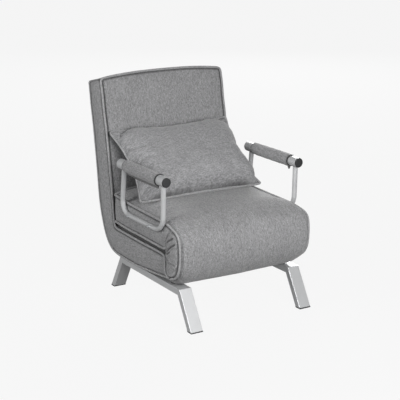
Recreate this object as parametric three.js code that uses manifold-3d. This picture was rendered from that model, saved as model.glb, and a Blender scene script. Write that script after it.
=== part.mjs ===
// A convertible chair bed: a folding three-section mattress on two leg frames.
// The seat section lies folded over the middle section and swings out over the front, where its
// armrests become legs. The backrest reclines on ratchet hinges to lie flat.
// Units are millimetres, +X to the sitter's left as seen from the front, -Y to the front, +Z up.
// While it is built, y is zero midway between the front and rear feet.

import * as THREE from "three";
import { mergeVertices } from "three/addons/utils/BufferGeometryUtils.js";
import Module from "manifold-3d";

const wasm = await Module();
wasm.setup();

const RADIAN = Math.PI / 180;
const QUARTER = Math.PI / 2;

// Driving dimensions: leg frames
const legTubeWidth = 50; // across the chair
const legTubeDepth = 24;
const legTubeWall = 2;
const legTubeEdge = 1.6; // rounding of the tube's edges
const legHeight = 143.7; // floor to the top of the bar
const legSpread = 624.2; // front foot's front face to rear foot's rear face
const legBarLength = 457.6; // along the bar's top face
const legFrameSpan = 531.4; // over the outer faces of both frames
const legBoltSpacing = 300; // front bolt to rear bolt on one bar
const legBoltRadius = 4;
const legBoltHeadRadius = 6.5;
const legBoltHeadHeight = 5;
const footCapThickness = 4;
const footCapPlug = 18;

// Driving dimensions: mattress sections
const cushionWidth = 550; // over the side seams
const foldPivotFront = 225; // how far the front fold's hinge line lies forward
const foldPivotHeight = 280;
const layerGap = 2; // from the fold plane to each of the two layers
const endGap = 0.25; // from a hinge plane to the foam of each section
const seatDepth = 472; // fold hinge line to the seat's rear end
const seamRounding = 5; // rounding of the foam at a side seam
const sidePull = 3; // how far the middle of a side panel is drawn in
const foldSpread = 9; // how much further out each side of the front fold bulges
const foldSpreadStartDistance = 120; // how far forward that bulge starts
const foldSpreadFullDistance = 270;
const restClearance = 0.8; // flattened underside above the leg bars
const cornerRise = 12; // underside at the recline hinge plane above the leg bars

// Outlines of the side seams, and of the fuller form half way across. Each point is its forward place as
// a share of foldPivotFront, its height as a share of the height from the leg bars to the fold plane,
// and its bend. At the fold's hinge plane and at the rear only the heights are given.
const seatSeamShares = {
  atFold: 1.601,
  line: [[0.916, 1.642, 0.09], [0.658, 1.708, 0.18], [0.507, 1.716, 0], [-0.191, 1.738, 0]],
  rear: 1.819,
};
const seatFullShares = {
  atFold: 1.694,
  line: [[0.916, 1.768, 0.09], [0.658, 1.856, 0.18], [0.507, 1.863, 0], [-0.191, 1.886, 0]],
  rear: 1.967,
};
const foldSeamShares = [
  [1.147, 1.531, 0.06],
  [1.173, 1.295, 0.13],
  [1.173, 0.705, 0.13],
  [1.111, 0.446, 0.09],
];
const foldFullShares = [
  [1.182, 1.539, 0.11],
  [1.258, 1.31, 0.18],
  [1.258, 0.705, 0.22],
  [1.147, 0.373, 0.11],
];
const bellySeamShares = {
  atFold: 0.317,
  line: [[0.871, 0.232, 0.04], [0.507, 0.166, 0], [-0.222, 0.055, 0]],
};
const bellyFullShares = { atFold: 0.181, line: [[0.827, 0, 0.09], [0.507, 0, 0], [-0.222, 0, 0]] };
const foldFullness = 20; // how near to the side seams the fold stays full
const seatFullness = 6;

// Driving dimensions: backrest, in its own frame from the recline hinge line
const reclinePivotDistance = 270; // how far the recline hinge line lies to the rear
const reclinePivotHeight = 262;
const backLean = 10; // degrees from upright
const backLength = 575; // hinge line to the top seam
const backFrontOffset = 17.7; // hinge line to the front face
const backFrontBow = 7; // how far the front face bows out half way up
const backThickness = 106;
const backTopThickness = 98;
const backTopDrop = 10; // how much lower the rear top seam is than the front one
const backTopCrown = 16; // how much higher the top seam is at the middle
const backTopDome = 9; // how much the top panel rises between its seams
const backFaceCrown = 5;
const backFullness = 3;
const backHeelRounding = 62; // where the rear face starts to round under, above the hinge line
const backHeelDepth = 75; // hinge line to the heel on the hinge plane
const cornerCrown = 9; // bulge of the rear corner at the middle

// Driving dimensions: inner frames
const railRadius = 12.5;
const railWall = 1.5;
const railSides = 12;
const foamClearance = 0.4; // between a frame and the foam round it
const railDrop = 66; // hinge line of the fold to the rails of both layers
const backRailDepth = 35; // hinge line to the backrest's rails
const frontCrossSetback = 80; // from a hinge line to the cross tube next to it
const rearCrossSetback = 90;
const plateThickness = 4;
const plateGap = 0.5; // between two plates that turn on one pin
const seatGap = 0.3; // between two pieces that seat on each other
const postRadius = 11;

// Driving dimensions: hinges
const foldEyeRadius = 11;
const foldPinRadius = 4;
const foldPinHeadRadius = 7;
const pinHeadThickness = 2.5;
const pinClearance = 0.1;
const reclineEyeRadius = 15;
const reclinePinRadius = 5;
const reclinePinHeadRadius = 9;
const reclineTravel = 80; // degrees from upright to flat
const sectorRadius = 22;
const notchCount = 7;
const notchDepth = 3.2;
const notchWidth = 3.6;
const notchClearance = 0.3;
const firstNotchAngle = 60; // in the backrest's frame, degrees up from the rearward direction
const pawlPivotRadius = 34; // recline hinge line to the pawl's pin
const pawlPivotAngle = 96;
const pawlEyeRadius = 5.5;
const pawlPinRadius = 2.5;

// Driving dimensions: armrests
const armSpan = 579.8; // centre to centre of the two loops
const armBarHeight = 535.9;
const armBarRadius = 19.3;
const armBarWall = 1.5;
const armBarFront = 181; // forward end of the bar
const armBarLength = 342;
const armLoopRadius = 9.3;
const armLoopFrontDistance = 162; // forward upright at the bar
const armLoopRearDistance = 134; // rear upright at the bar
const armLoopRearFootDistance = 158; // rear upright's line where it meets the lower run
const armLoopFrontFootDistance = 157;
const armFrontBend = 58;
const armRearBend = 48;
const armPadRadius = 22.6;
const armPadLength = 246;
const armPadFront = 128;
const armPadEdge = 2.5;
const armCapRadius = 18;
const armCapThickness = 4;
const armCapPlug = 12;
const armBoltRadius = 3;
const armBoltHeadRadius = 5.5;
const armBoltHeadHeight = 3.5;
const armBoltFrontDistance = 60; // places of the two bolts along the loop's lower run
const armBoltRearDistance = 96;
const armSpacerRadius = 8;

// Driving dimensions: fold-out support leg, in the backrest's frame
const supportHeight = 400; // hinge line to the leg's pivot
const supportStandoff = 20; // rear face to the leg's pivot
const supportWidth = 320; // centre to centre of the leg's two sides
const supportTubeRadius = 9.5;
const supportBend = 30;
const supportFootRadius = 12;
const supportFootLength = 40;
const supportFootInset = 65; // from each side of the leg to the middle of its foot
const supportPinRadius = 4;
const supportEyeRadius = 10;
const supportOverhang = 13; // tube past its pivot
const floorClearance = 0.5;

// Driving dimensions: pillow
const pillowWidth = 546;
const pillowHeight = 342;
const pillowFrontSwell = 72;
const pillowRearSwell = 48;
const pillowSidePull = 32; // how far each side is drawn in between the corners
const pillowTopPull = 15;
const pillowFootPull = 9;
const pillowLowerSeamDistance = 45; // lower seam's place, to the rear of the origin
const pillowUpperSeamDistance = 298;
const pillowUpperSeamHeight = 634;
const pillowSeamThickness = 3;

// Worked out from the above
const halfWidth = cushionWidth / 2;
const legOuter = legFrameSpan / 2;
const legCentre = legOuter - legTubeWidth / 2;
const rakeAngle = Math.atan2(legSpread / 2 - legBarLength / 2, legHeight);
const legFootLength = legTubeDepth / Math.cos(rakeAngle);
const restHeight = legHeight + restClearance;
const cornerBottom = legHeight + cornerRise;
const railInset = legCentre; // lower rails stand over the leg bars
const outerPlateFace = railInset - railRadius - seatGap;
const innerPlateFace = outerPlateFace - plateThickness - plateGap;
const upperRailInset = innerPlateFace + seatGap + railRadius;
const middleRailHeight = foldPivotHeight - railDrop;
const seatRailHeight = foldPivotHeight + railDrop;
const seatRear = seatDepth - foldPivotFront;
const armCentre = armSpan / 2;

// Sides of round pieces, and steps and sides of bent tubes
const hexSides = 6;
const pinSides = 16;
const eyeSides = 20;
const barSides = 32;
const sectorSides = 48;
const tubeSteps = 32;
const tubeSides = 10;

// Shares of the size that each is multiplied by
const strapShare = 0.8; // a plate's rounded end against the rail or pin that it sits on
const notchFloorShare = 0.7; // a notch's floor against its mouth
const toothTipShare = 0.6; // a tooth's tip against its root
const capShares = { rim: 0.6, slopeRadius: 0.94, slope: 0.9, flat: 0.7 }; // an end cap's rounded rim
const pillowSwellShares = { flatness: 4, steepness: 0.6 }; // powers of the swell's falling off to its seam

const pillowTilt = Math.atan2(
  pillowUpperSeamDistance - pillowLowerSeamDistance,
  Math.sqrt(pillowHeight ** 2 - (pillowUpperSeamDistance - pillowLowerSeamDistance) ** 2),
);

const finish = (name, color, roughness, metalness = 0) =>
  new THREE.MeshStandardMaterial({ name, color, roughness, metalness });
const finishes = {
  linen: finish("grey linen-look weave", 0x909092, 0.95),
  coat: finish("silver powder coat", 0xc6c6c8, 0.45, 0.2),
  steel: finish("black steel", 0x2c2c2e, 0.5, 0.5),
  zinc: finish("zinc plating", 0xd8dade, 0.3, 0.9),
  plastic: finish("black plastic", 0x2b2b2d, 0.55),
  rubber: finish("rubber", 0x1d1d1f, 0.85),
};

// Solids: joined and cut with manifold-3d, and shown as three.js geometry.

function solidOf(geometry) {
  const plain = new THREE.BufferGeometry();
  plain.setAttribute("position", geometry.getAttribute("position").clone());
  if (geometry.index) plain.setIndex(geometry.index.clone());
  const merged = mergeVertices(plain, 1e-4);
  const vertProperties = new Float32Array(merged.attributes.position.array);
  const triVerts = new Uint32Array(merged.index.array);
  const made = new wasm.Manifold(new wasm.Mesh({ numProp: 3, vertProperties, triVerts }));
  if (made.volume() > 0) return made;
  for (let i = 0; i < triVerts.length; i += 3) {
    [triVerts[i + 1], triVerts[i + 2]] = [triVerts[i + 2], triVerts[i + 1]];
  }
  return new wasm.Manifold(new wasm.Mesh({ numProp: 3, vertProperties, triVerts }));
}

function geometryOf(solid) {
  const mesh = solid.getMesh();
  const geometry = new THREE.BufferGeometry();
  geometry.setAttribute("position", new THREE.BufferAttribute(new Float32Array(mesh.vertProperties), 3));
  geometry.setIndex(new THREE.BufferAttribute(new Uint32Array(mesh.triVerts), 1));
  geometry.computeVertexNormals();
  return geometry;
}

function joined(solids) {
  return solids.reduce((all, one) => all.add(one));
}

function cut(solid, cutters) {
  return cutters.reduce((left, one) => left.subtract(one), solid);
}

function piece(name, solid, material) {
  const mesh = new THREE.Mesh(geometryOf(solid), material);
  mesh.name = name;
  return mesh;
}

// Round bars and rings. A bar runs from start to end along x, y or z through the point [x, y, z].

function bar(along, start, end, at, radius, sides = railSides) {
  const geometry = new THREE.CylinderGeometry(radius, radius, end - start, sides);
  if (along === "x") geometry.rotateZ(QUARTER);
  if (along === "z") geometry.rotateX(QUARTER);
  const middle = (start + end) / 2;
  const [x, y, z] = at;
  if (along === "x") geometry.translate(middle, y, z);
  if (along === "y") geometry.translate(x, middle, z);
  if (along === "z") geometry.translate(x, y, middle);
  return solidOf(geometry);
}

function block([x0, x1], [y0, y1], [z0, z1]) {
  const geometry = new THREE.BoxGeometry(x1 - x0, y1 - y0, z1 - z0);
  geometry.translate((x0 + x1) / 2, (y0 + y1) / 2, (z0 + z1) / 2);
  return solidOf(geometry);
}

// Two places across the chair on the side that is asked for, given as distances from the middle
function faces(side, inner, outer) {
  return side < 0 ? [-outer, -inner] : [inner, outer];
}

// A hole along x through a plate between two faces
function holeThrough(ends, at, radius, sides) {
  return bar("x", ends[0] - plateThickness, ends[1] + plateThickness, at, radius, sides);
}

// A piece revolved about a line along y. Profile points are [radius, distance along].
function turned(profile, at, sides) {
  const points = profile.map(([radius, distance]) => new THREE.Vector2(radius, distance));
  const geometry = new THREE.LatheGeometry(points, sides);
  geometry.translate(...at);
  return solidOf(geometry);
}

// A tube along straight runs with round bends. Corners are [x, y, z, bend radius].
function bentPath(corners) {
  const path = new THREE.CurvePath();
  const points = corners.map(([x, y, z]) => new THREE.Vector3(x, y, z));
  let from = points[0];
  for (let i = 1; i < points.length - 1; i += 1) {
    const into = points[i].clone().sub(points[i - 1]).normalize();
    const out = points[i + 1].clone().sub(points[i]).normalize();
    const reach = corners[i][3] * Math.tan(into.angleTo(out) / 2);
    const start = points[i].clone().addScaledVector(into, -reach);
    const end = points[i].clone().addScaledVector(out, reach);
    const pull = (4 / 3) * Math.tan(into.angleTo(out) / 4) * corners[i][3];
    path.add(new THREE.LineCurve3(from, start));
    path.add(
      new THREE.CubicBezierCurve3(
        start,
        start.clone().addScaledVector(into, pull),
        end.clone().addScaledVector(out, -pull),
        end,
      ),
    );
    from = end;
  }
  path.add(new THREE.LineCurve3(from, points.at(-1)));
  return path;
}

function tube(path, radius, steps, sides) {
  const circle = new THREE.Shape();
  for (let i = 0; i < sides; i += 1) {
    const angle = (2 * Math.PI * i) / sides;
    const point = [radius * Math.cos(angle), radius * Math.sin(angle)];
    if (i) circle.lineTo(...point);
    else circle.moveTo(...point);
  }
  return solidOf(new THREE.ExtrudeGeometry(circle, { steps, extrudePath: path }));
}

// Plates: outlines in y and z, extruded along x between two faces.

function outlineShape(outline) {
  return new THREE.Shape(outline.map(([y, z]) => new THREE.Vector2(y, z)));
}

function plate(outline, x0, x1, edge = 0) {
  const geometry = new THREE.ExtrudeGeometry(outlineShape(outline), {
    depth: x1 - x0 - 2 * edge,
    bevelEnabled: edge > 0,
    bevelSize: edge,
    bevelThickness: edge,
    bevelOffset: -edge,
    bevelSegments: 2,
    curveSegments: 1,
  });
  geometry.translate(0, 0, edge);
  // shape x and y become the part's y and z, and the depth becomes x
  const turn = new THREE.Matrix4().set(0, 0, 1, x0, 1, 0, 0, 0, 0, 1, 0, 0, 0, 0, 0, 1);
  geometry.applyMatrix4(turn);
  return solidOf(geometry);
}

// The convex outline round several circles, each [y, z, radius]
function strap(circles, sides = 20) {
  const points = circles.flatMap(([y, z, radius]) =>
    Array.from({ length: sides }, (_, i) => {
      const angle = (2 * Math.PI * i) / sides;
      return [y + radius * Math.cos(angle), z + radius * Math.sin(angle)];
    }),
  );
  points.sort((a, b) => a[0] - b[0] || a[1] - b[1]);
  const turns = (o, a, b) => (a[0] - o[0]) * (b[1] - o[1]) - (a[1] - o[1]) * (b[0] - o[0]);
  const half = (list) =>
    list.reduce((kept, point) => {
      while (kept.length > 1 && turns(kept.at(-2), kept.at(-1), point) <= 0) kept.pop();
      kept.push(point);
      return kept;
    }, []);
  const lower = half(points);
  const upper = half([...points].reverse());
  return [...lower.slice(0, -1), ...upper.slice(0, -1)];
}

// Upholstered forms: an outline in y and z carried from side seam to side seam.

// Rounds the corners of an outline and splits its edges. Corners are [y, z, radius], and each corner and
// edge gives the same number of points whatever its size, so that two outlines can be blended.
function roundedOutline(corners, edgeSteps = 1, arcSteps = 4) {
  const count = corners.length;
  const at = (i) => new THREE.Vector2(...corners[(i + count) % count].slice(0, 2));
  const arcs = corners.map(([, , radius], i) => {
    const here = at(i);
    if (!radius) return [here];
    const into = here.clone().sub(at(i - 1)).normalize();
    const out = at(i + 1).sub(here).normalize();
    const turn = Math.acos(THREE.MathUtils.clamp(into.dot(out), -1, 1));
    const room = Math.min(here.distanceTo(at(i - 1)), here.distanceTo(at(i + 1))) / 2;
    const reach = Math.min(radius * Math.tan(turn / 2), room);
    const start = here.clone().addScaledVector(into, -reach);
    const end = here.clone().addScaledVector(out, reach);
    return new THREE.QuadraticBezierCurve(start, here, end).getPoints(arcSteps);
  });
  return arcs.flatMap((arc, i) => {
    const last = arc.at(-1);
    const next = arcs[(i + 1) % count][0];
    const between = Array.from({ length: edgeSteps - 1 }, (_, n) =>
      last.clone().lerp(next, (n + 1) / edgeSteps),
    );
    return [...arc, ...between].map((point) => [point.x, point.y]);
  });
}

// Places across the chair, as shares of the half width. At the ends the seam rounding applies.
const stationShares = [-1, -0.985, -0.955, -0.87, -0.5, 0.5, 0.87, 0.955, 0.985, 1];

// How full a cover is at a share of the half width: 1 at the middle and 0 at the side seam. A higher
// power keeps it full nearer to the seam.
function fullness(share, power) {
  return 1 - Math.abs(share) ** power;
}

// How much wider than the rest the chair is at a place along it
function spreadAt(y) {
  return foldSpread * THREE.MathUtils.smoothstep(-y, foldSpreadStartDistance, foldSpreadFullDistance);
}

// A padded form from side seam to side seam: the seam's outline at both ends, the full one between
function upholstered(seam, full, power) {
  const rings = stationShares.map((share) => {
    const ring = seam.map(([y, z], i) => {
      const part = fullness(share, power);
      return [y + (full[i][0] - y) * part, z + (full[i][1] - z) * part];
    });
    const centre = [0, 1].map((k) => ring.reduce((sum, p) => sum + p[k], 0) / ring.length);
    const drawnIn = Math.abs(share) < 1 ? 0 : seamRounding;
    return ring.map(([y, z]) => {
      const away = new THREE.Vector2(y - centre[0], z - centre[1]);
      const kept = 1 - drawnIn / Math.max(away.length(), seamRounding);
      return [share * (halfWidth + spreadAt(y)), centre[0] + away.x * kept, centre[1] + away.y * kept];
    });
  });
  return solidOf(closedSkin(rings, sidePull));
}

// A closed skin over rings of points, ending in two fans whose middles are pulled in
function closedSkin(rings, pull) {
  const count = rings[0].length;
  const positions = rings.flat();
  const index = [];
  for (let i = 0; i < rings.length - 1; i += 1) {
    for (let j = 0; j < count; j += 1) {
      const a = i * count + j;
      const b = i * count + ((j + 1) % count);
      index.push(a, b, b + count, a, b + count, a + count);
    }
  }
  [0, rings.length - 1].forEach((i) => {
    const ring = rings[i];
    const middle = [0, 1, 2].map((k) => ring.reduce((sum, p) => sum + p[k], 0) / count);
    middle[0] = Math.sign(middle[0]) * (Math.min(...ring.map((p) => Math.abs(p[0]))) - pull);
    const apex = positions.push(middle) - 1;
    for (let j = 0; j < count; j += 1) {
      const a = i * count + j;
      const b = i * count + ((j + 1) % count);
      index.push(...(i ? [a, b, apex] : [b, a, apex]));
    }
  });
  const geometry = new THREE.BufferGeometry();
  geometry.setAttribute("position", new THREE.Float32BufferAttribute(positions.flat(), 3));
  geometry.setIndex(index);
  return geometry;
}

// Leg frames and their feet

function legFrame(side) {
  const foot = legSpread / 2;
  const top = legBarLength / 2;
  const rake = Math.tan(rakeAngle);
  const at = (z, inner) => foot - z * rake - (inner ? legFootLength : 0);
  const outside = [
    [-at(footCapThickness, false), footCapThickness],
    [-at(footCapThickness, true), footCapThickness],
    [-at(legHeight - legTubeDepth, true), legHeight - legTubeDepth],
    [at(legHeight - legTubeDepth, true), legHeight - legTubeDepth],
    [at(footCapThickness, true), footCapThickness],
    [at(footCapThickness, false), footCapThickness],
    [top, legHeight],
    [-top, legHeight],
  ];
  const wall = legTubeWall / Math.cos(rakeAngle);
  const within = (z, inner) => at(z, inner) + (inner ? wall : -wall);
  const innerTop = legHeight - legTubeWall;
  const innerBottom = legHeight - legTubeDepth + legTubeWall;
  const below = -footCapThickness;
  const inside = [
    [-within(below, false), below],
    [-within(below, true), below],
    [-within(innerBottom, true), innerBottom],
    [within(innerBottom, true), innerBottom],
    [within(below, true), below],
    [within(below, false), below],
    [within(innerTop, false), innerTop],
    [-within(innerTop, false), innerTop],
  ];
  const x = side * legCentre;
  const half = legTubeWidth / 2;
  const shell = plate(outside, x - half, x + half, legTubeEdge);
  const hollow = plate(inside, x - half + legTubeWall, x + half - legTubeWall);
  // the edge rounding also draws the cut foot in, so a slice restores its flat end
  const feet = [-1, 1].map((end) => {
    const slice = end < 0 ? outside.slice(0, 2) : outside.slice(4, 6);
    const lift = 2 * legTubeEdge;
    const upper = slice.map(([y, z]) => [y - Math.sign(y) * lift * rake, z + lift]).reverse();
    return plate([...slice, ...upper], x - half, x + half);
  });
  const holes = legBoltPlaces().map((y) =>
    bar("z", legHeight - 2 * legTubeDepth, legHeight + legTubeDepth, [x, y, 0], legBoltRadius + seatGap),
  );
  return cut(joined([shell, ...feet]), [hollow, ...holes]);
}

function legBoltPlaces() {
  return [-legBoltSpacing / 2, legBoltSpacing / 2];
}

function footCap(side, end) {
  const rake = Math.tan(rakeAngle);
  const x = side * legCentre;
  const half = legTubeWidth / 2;
  const outer = (z) => end * (legSpread / 2 - z * rake);
  const inner = (z) => end * (legSpread / 2 - z * rake - legFootLength);
  const top = footCapThickness - seatGap;
  const sole = [[outer(0), 0], [inner(0), 0], [inner(top), top], [outer(top), top]];
  const pad = plate(sole, x - half, x + half);
  const shrink = (legTubeWall + seatGap) / Math.cos(rakeAngle);
  const plugTop = footCapThickness + footCapPlug;
  const near = (z) => outer(z) - end * shrink;
  const far = (z) => inner(z) + end * shrink;
  const start = footCapThickness / 2;
  const inset = half - legTubeWall - seatGap;
  const plug = plate(
    [[near(start), start], [far(start), start], [far(plugTop), plugTop], [near(plugTop), plugTop]],
    x - inset,
    x + inset,
  );
  return pad.add(plug);
}

function legBolt(side, y) {
  const x = side * legCentre;
  const underBar = legHeight - legTubeDepth - seatGap;
  const shankTop = middleRailHeight - railRadius;
  const head = bar("z", underBar - legBoltHeadHeight, underBar, [x, y, 0], legBoltHeadRadius, hexSides);
  return head.add(bar("z", underBar - legBoltHeadHeight / 2, shankTop, [x, y, 0], legBoltRadius));
}

// Inner frames: two rails joined by cross tubes

const middleFront = -foldPivotFront + railRadius;
const middleRear = reclinePivotDistance - 2 * railRadius;
const middleCrossPlaces = [-foldPivotFront + frontCrossSetback, 0, reclinePivotDistance - rearCrossSetback];
const seatCrossPlaces = [-foldPivotFront + frontCrossSetback, 0, seatRear - 2 * railRadius];

function ladder(inset, height, front, rear, crossPlaces, radius) {
  const rails = [-1, 1].map((side) => bar("y", front, rear, [side * inset, 0, height], radius));
  const crosses = crossPlaces.map((y) => bar("x", -inset, inset, [0, y, height], radius));
  return joined([...rails, ...crosses]);
}

function railBores(inset, height, front, rear) {
  return [-1, 1].map((side) =>
    bar("y", front - railWall, rear + railWall, [side * inset, 0, height], railRadius - railWall),
  );
}

function middleFrame() {
  const posts = [-1, 1].flatMap((side) =>
    legBoltPlaces().map((y) =>
      bar("z", legHeight + seatGap, middleRailHeight, [side * railInset, y, 0], postRadius),
    ),
  );
  const bores = [-1, 1].flatMap((side) =>
    legBoltPlaces().map((y) =>
      bar("z", legHeight - postRadius, middleRailHeight, [side * railInset, y, 0], legBoltRadius + seatGap),
    ),
  );
  const frame = ladder(railInset, middleRailHeight, middleFront, middleRear, middleCrossPlaces, railRadius);
  return cut(joined([frame, ...posts]), [
    ...railBores(railInset, middleRailHeight, middleFront, middleRear),
    ...bores,
  ]);
}

function seatFrame() {
  const rear = seatRear - railRadius;
  const frame = ladder(upperRailInset, seatRailHeight, middleFront, rear, seatCrossPlaces, railRadius);
  const bores = railBores(upperRailInset, seatRailHeight, middleFront, rear);
  return cut(frame, [...bores, ...armBoltHoles(upperRailInset)]);
}

function armBoltPlaces() {
  return [-armBoltFrontDistance, armBoltRearDistance];
}

function armBoltHoles(from) {
  return [-1, 1].flatMap((side) =>
    armBoltPlaces().map((y) => {
      const ends = faces(side, from, armCentre + 2 * armLoopRadius);
      return bar("x", ...ends, [0, y, seatRailHeight], armBoltRadius + seatGap, railSides);
    }),
  );
}

// Mattress sections

// Lengths from the shares that the outlines are given in
function mattressHeight(share) {
  return restHeight + share * (foldPivotHeight - restHeight);
}

function mattressPoint([forwardShare, heightShare, bendShare]) {
  return [-forwardShare * foldPivotFront, mattressHeight(heightShare), bendShare * foldPivotFront];
}

function frontFoldPad() {
  const front = -foldPivotFront - endGap;
  const outline = (seat, fold, belly) =>
    roundedOutline(
      [
        [front, mattressHeight(seat.atFold), 0],
        ...fold.map(mattressPoint),
        [front, mattressHeight(belly.atFold), 0],
      ],
      1,
      3,
    );
  const seam = outline(seatSeamShares, foldSeamShares, bellySeamShares);
  const full = outline(seatFullShares, foldFullShares, bellyFullShares);
  return cut(upholstered(seam, full, foldFullness), foldPockets());
}

// The seat's whole form, moved up by a rise
function seatForm(rise) {
  const front = -foldPivotFront + endGap;
  const bottom = foldPivotHeight + layerGap;
  const outline = (shares) =>
    roundedOutline(
      [
        [front, bottom, 0],
        [-foldSpreadStartDistance, bottom, 0],
        [seatRear, bottom, 3 * seamRounding],
        [seatRear, mattressHeight(shares.rear), 3 * seamRounding],
        ...shares.line.map(mattressPoint).reverse(),
        [front, mattressHeight(shares.atFold), 0],
      ].map(([y, z, radius]) => [y, z + rise, radius]),
      2,
    );
  return upholstered(outline(seatSeamShares), outline(seatFullShares), seatFullness);
}

function seatCushion() {
  const frame = ladder(
    upperRailInset,
    seatRailHeight,
    middleFront - foamClearance,
    seatRear - railRadius + foamClearance,
    seatCrossPlaces,
    railRadius + foamClearance,
  );
  return cut(seatForm(0), [frame, ...armBoltHoles(upperRailInset), ...foldPockets()]);
}

function middleCushion() {
  const front = -foldPivotFront + endGap;
  const rear = reclinePivotDistance - endGap;
  const outline = (shares, rise) =>
    roundedOutline(
      [
        [front, foldPivotHeight - layerGap, 0],
        [front, mattressHeight(shares.atFold), 0],
        ...shares.line.map(mattressPoint),
        [rear - 2 * backFrontOffset, restHeight + rise, 3 * backFrontOffset],
        [rear, cornerBottom, 0],
        [rear, foldPivotHeight - layerGap, 0],
        [-foldSpreadStartDistance, foldPivotHeight - layerGap, 0],
      ],
      2,
    );
  const frame = ladder(
    railInset,
    middleRailHeight,
    middleFront - foamClearance,
    middleRear + foamClearance,
    middleCrossPlaces,
    railRadius + foamClearance,
  );
  const posts = [-1, 1].flatMap((side) =>
    legBoltPlaces().map((y) =>
      bar("z", 0, middleRailHeight, [side * railInset, y, 0], postRadius + foamClearance),
    ),
  );
  const cove = bar(
    "x",
    -cushionWidth,
    cushionWidth,
    [0, reclinePivotDistance, reclinePivotHeight],
    backFrontOffset + backFaceCrown + layerGap,
    barSides,
  );
  const seam = outline(bellySeamShares, cornerRise / 2);
  const form = upholstered(seam, outline(bellyFullShares, 0), foldFullness);
  return cut(form, [frame, ...posts, cove, ...foldPockets(), ...sectorPockets()]);
}

// The wedge of padding between the middle section's rear end and the foot of the backrest
function rearCornerPad() {
  const hollow = backFrontOffset + layerGap;
  const start = [reclinePivotDistance + endGap, cornerBottom];
  const outline = (crown) => {
    const heel = leaned(backHeelDepth + crown, -endGap, backLean);
    const corner = [heel[0] - cornerRise, cornerBottom + cornerRise - crown];
    const points = [start, corner, heel].map((p) => new THREE.Vector2(...p));
    const curve = new THREE.QuadraticBezierCurve(...points);
    return [
      ...curve.getPoints(8).map((p) => [p.x, p.y]),
      leaned(hollow, -endGap, backLean),
      [reclinePivotDistance + endGap, reclinePivotHeight - hollow],
    ];
  };
  return cut(upholstered(outline(0), outline(cornerCrown), seatFullness), sectorPockets());
}

// A place in the backrest's frame, carried to the chair's at a lean in degrees
function leaned(y, z, degrees) {
  const turn = degrees * RADIAN;
  return [
    reclinePivotDistance + y * Math.cos(turn) + z * Math.sin(turn),
    reclinePivotHeight - y * Math.sin(turn) + z * Math.cos(turn),
  ];
}

// Front fold hinges: a lower and an upper plate on each side, turning on one pin

// The eye round the pin and the neck to the rail, as straps, each a spare larger all round
function foldPlateStraps(rise, spare) {
  const rail = foldPivotHeight + rise * railDrop;
  const rootY = -foldPivotFront + 3 * railRadius;
  const knee = [
    -foldPivotFront + foldEyeRadius,
    foldPivotHeight + rise * foldEyeRadius,
    foldEyeRadius / 2 + spare,
  ];
  return [
    strap([[-foldPivotFront, foldPivotHeight, foldEyeRadius + spare], knee]),
    strap([
      knee,
      [rootY, rail - rise * railRadius, foldEyeRadius / 2 + spare],
      [rootY + railRadius, rail, railRadius / 2 + spare],
      [rootY - railRadius / 2, rail, railRadius / 2 + spare],
    ]),
  ];
}

function foldPlate(side, upper) {
  const face = upper ? innerPlateFace : outerPlateFace;
  const ends = faces(side, face - plateThickness, face);
  const straps = foldPlateStraps(upper ? 1 : -1, 0);
  const at = [0, -foldPivotFront, foldPivotHeight];
  return cut(joined(straps.map((points) => plate(points, ...ends))), [
    holeThrough(ends, at, foldPinRadius + pinClearance, eyeSides),
  ]);
}

function hingePin(side, y, z, radius, headRadius) {
  const inner = innerPlateFace - plateThickness - seatGap;
  const outer = outerPlateFace + seatGap;
  const round = (from, to, size) => bar("x", ...faces(side, from, to), [0, y, z], size, eyeSides);
  const shank = round(inner - pinHeadThickness / 2, outer + pinHeadThickness / 2, radius);
  const innerHead = round(inner - pinHeadThickness, inner, headRadius);
  const outerHead = round(outer, outer + pinHeadThickness, headRadius);
  return joined([shank, innerHead, outerHead]);
}

// The room in the foam round a hinge, the width of its plates and pin
function hingeRoom(side, outline, spare) {
  const inner = innerPlateFace - plateThickness - pinHeadThickness - spare;
  const outer = outerPlateFace + pinHeadThickness + spare;
  return plate(outline, ...faces(side, inner, outer));
}

function foldPockets() {
  return [-1, 1].flatMap((side) =>
    [-1, 1].flatMap((rise) =>
      foldPlateStraps(rise, layerGap).map((points) => hingeRoom(side, points, 2 * seatGap)),
    ),
  );
}

// Ratchet recline hinges: a notched sector on the middle frame, an arm on the backrest's frame, and
// a pawl on the arm that drops into the sector's notches

// Outline of the sector: notches at even steps, the first under the pawl when the back is upright
function sectorOutline() {
  const pitch = reclineTravel / (notchCount - 1);
  const polar = (radius, degrees) => [
    reclinePivotDistance + radius * Math.cos(degrees * RADIAN),
    reclinePivotHeight + radius * Math.sin(degrees * RADIAN),
  ];
  const first = firstNotchAngle - backLean;
  const half = notchWidth / 2 / sectorRadius / RADIAN;
  const floor = sectorRadius - notchDepth;
  const last = first - (notchCount - 1) * pitch;
  const points = [[reclinePivotDistance, reclinePivotHeight], polar(sectorRadius, last - pitch / 2)];
  for (let i = notchCount - 1; i >= 0; i -= 1) {
    const angle = first - i * pitch;
    points.push(polar(sectorRadius, angle - half));
    points.push(polar(floor, angle - half * notchFloorShare));
    points.push(polar(floor, angle + half * notchFloorShare));
    points.push(polar(sectorRadius, angle + half));
    points.push(polar(sectorRadius, angle + pitch / 2));
  }
  return points;
}

// The neck from the hinge line down to the middle frame's rail, a spare larger all round
function sectorNeck(spare) {
  const root = middleRear - 2 * railRadius;
  return strap([
    [reclinePivotDistance, reclinePivotHeight, reclineEyeRadius * strapShare + spare],
    [root + railRadius, middleRailHeight, railRadius * strapShare + spare],
    [root - railRadius, middleRailHeight, railRadius * strapShare + spare],
  ]);
}

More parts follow.
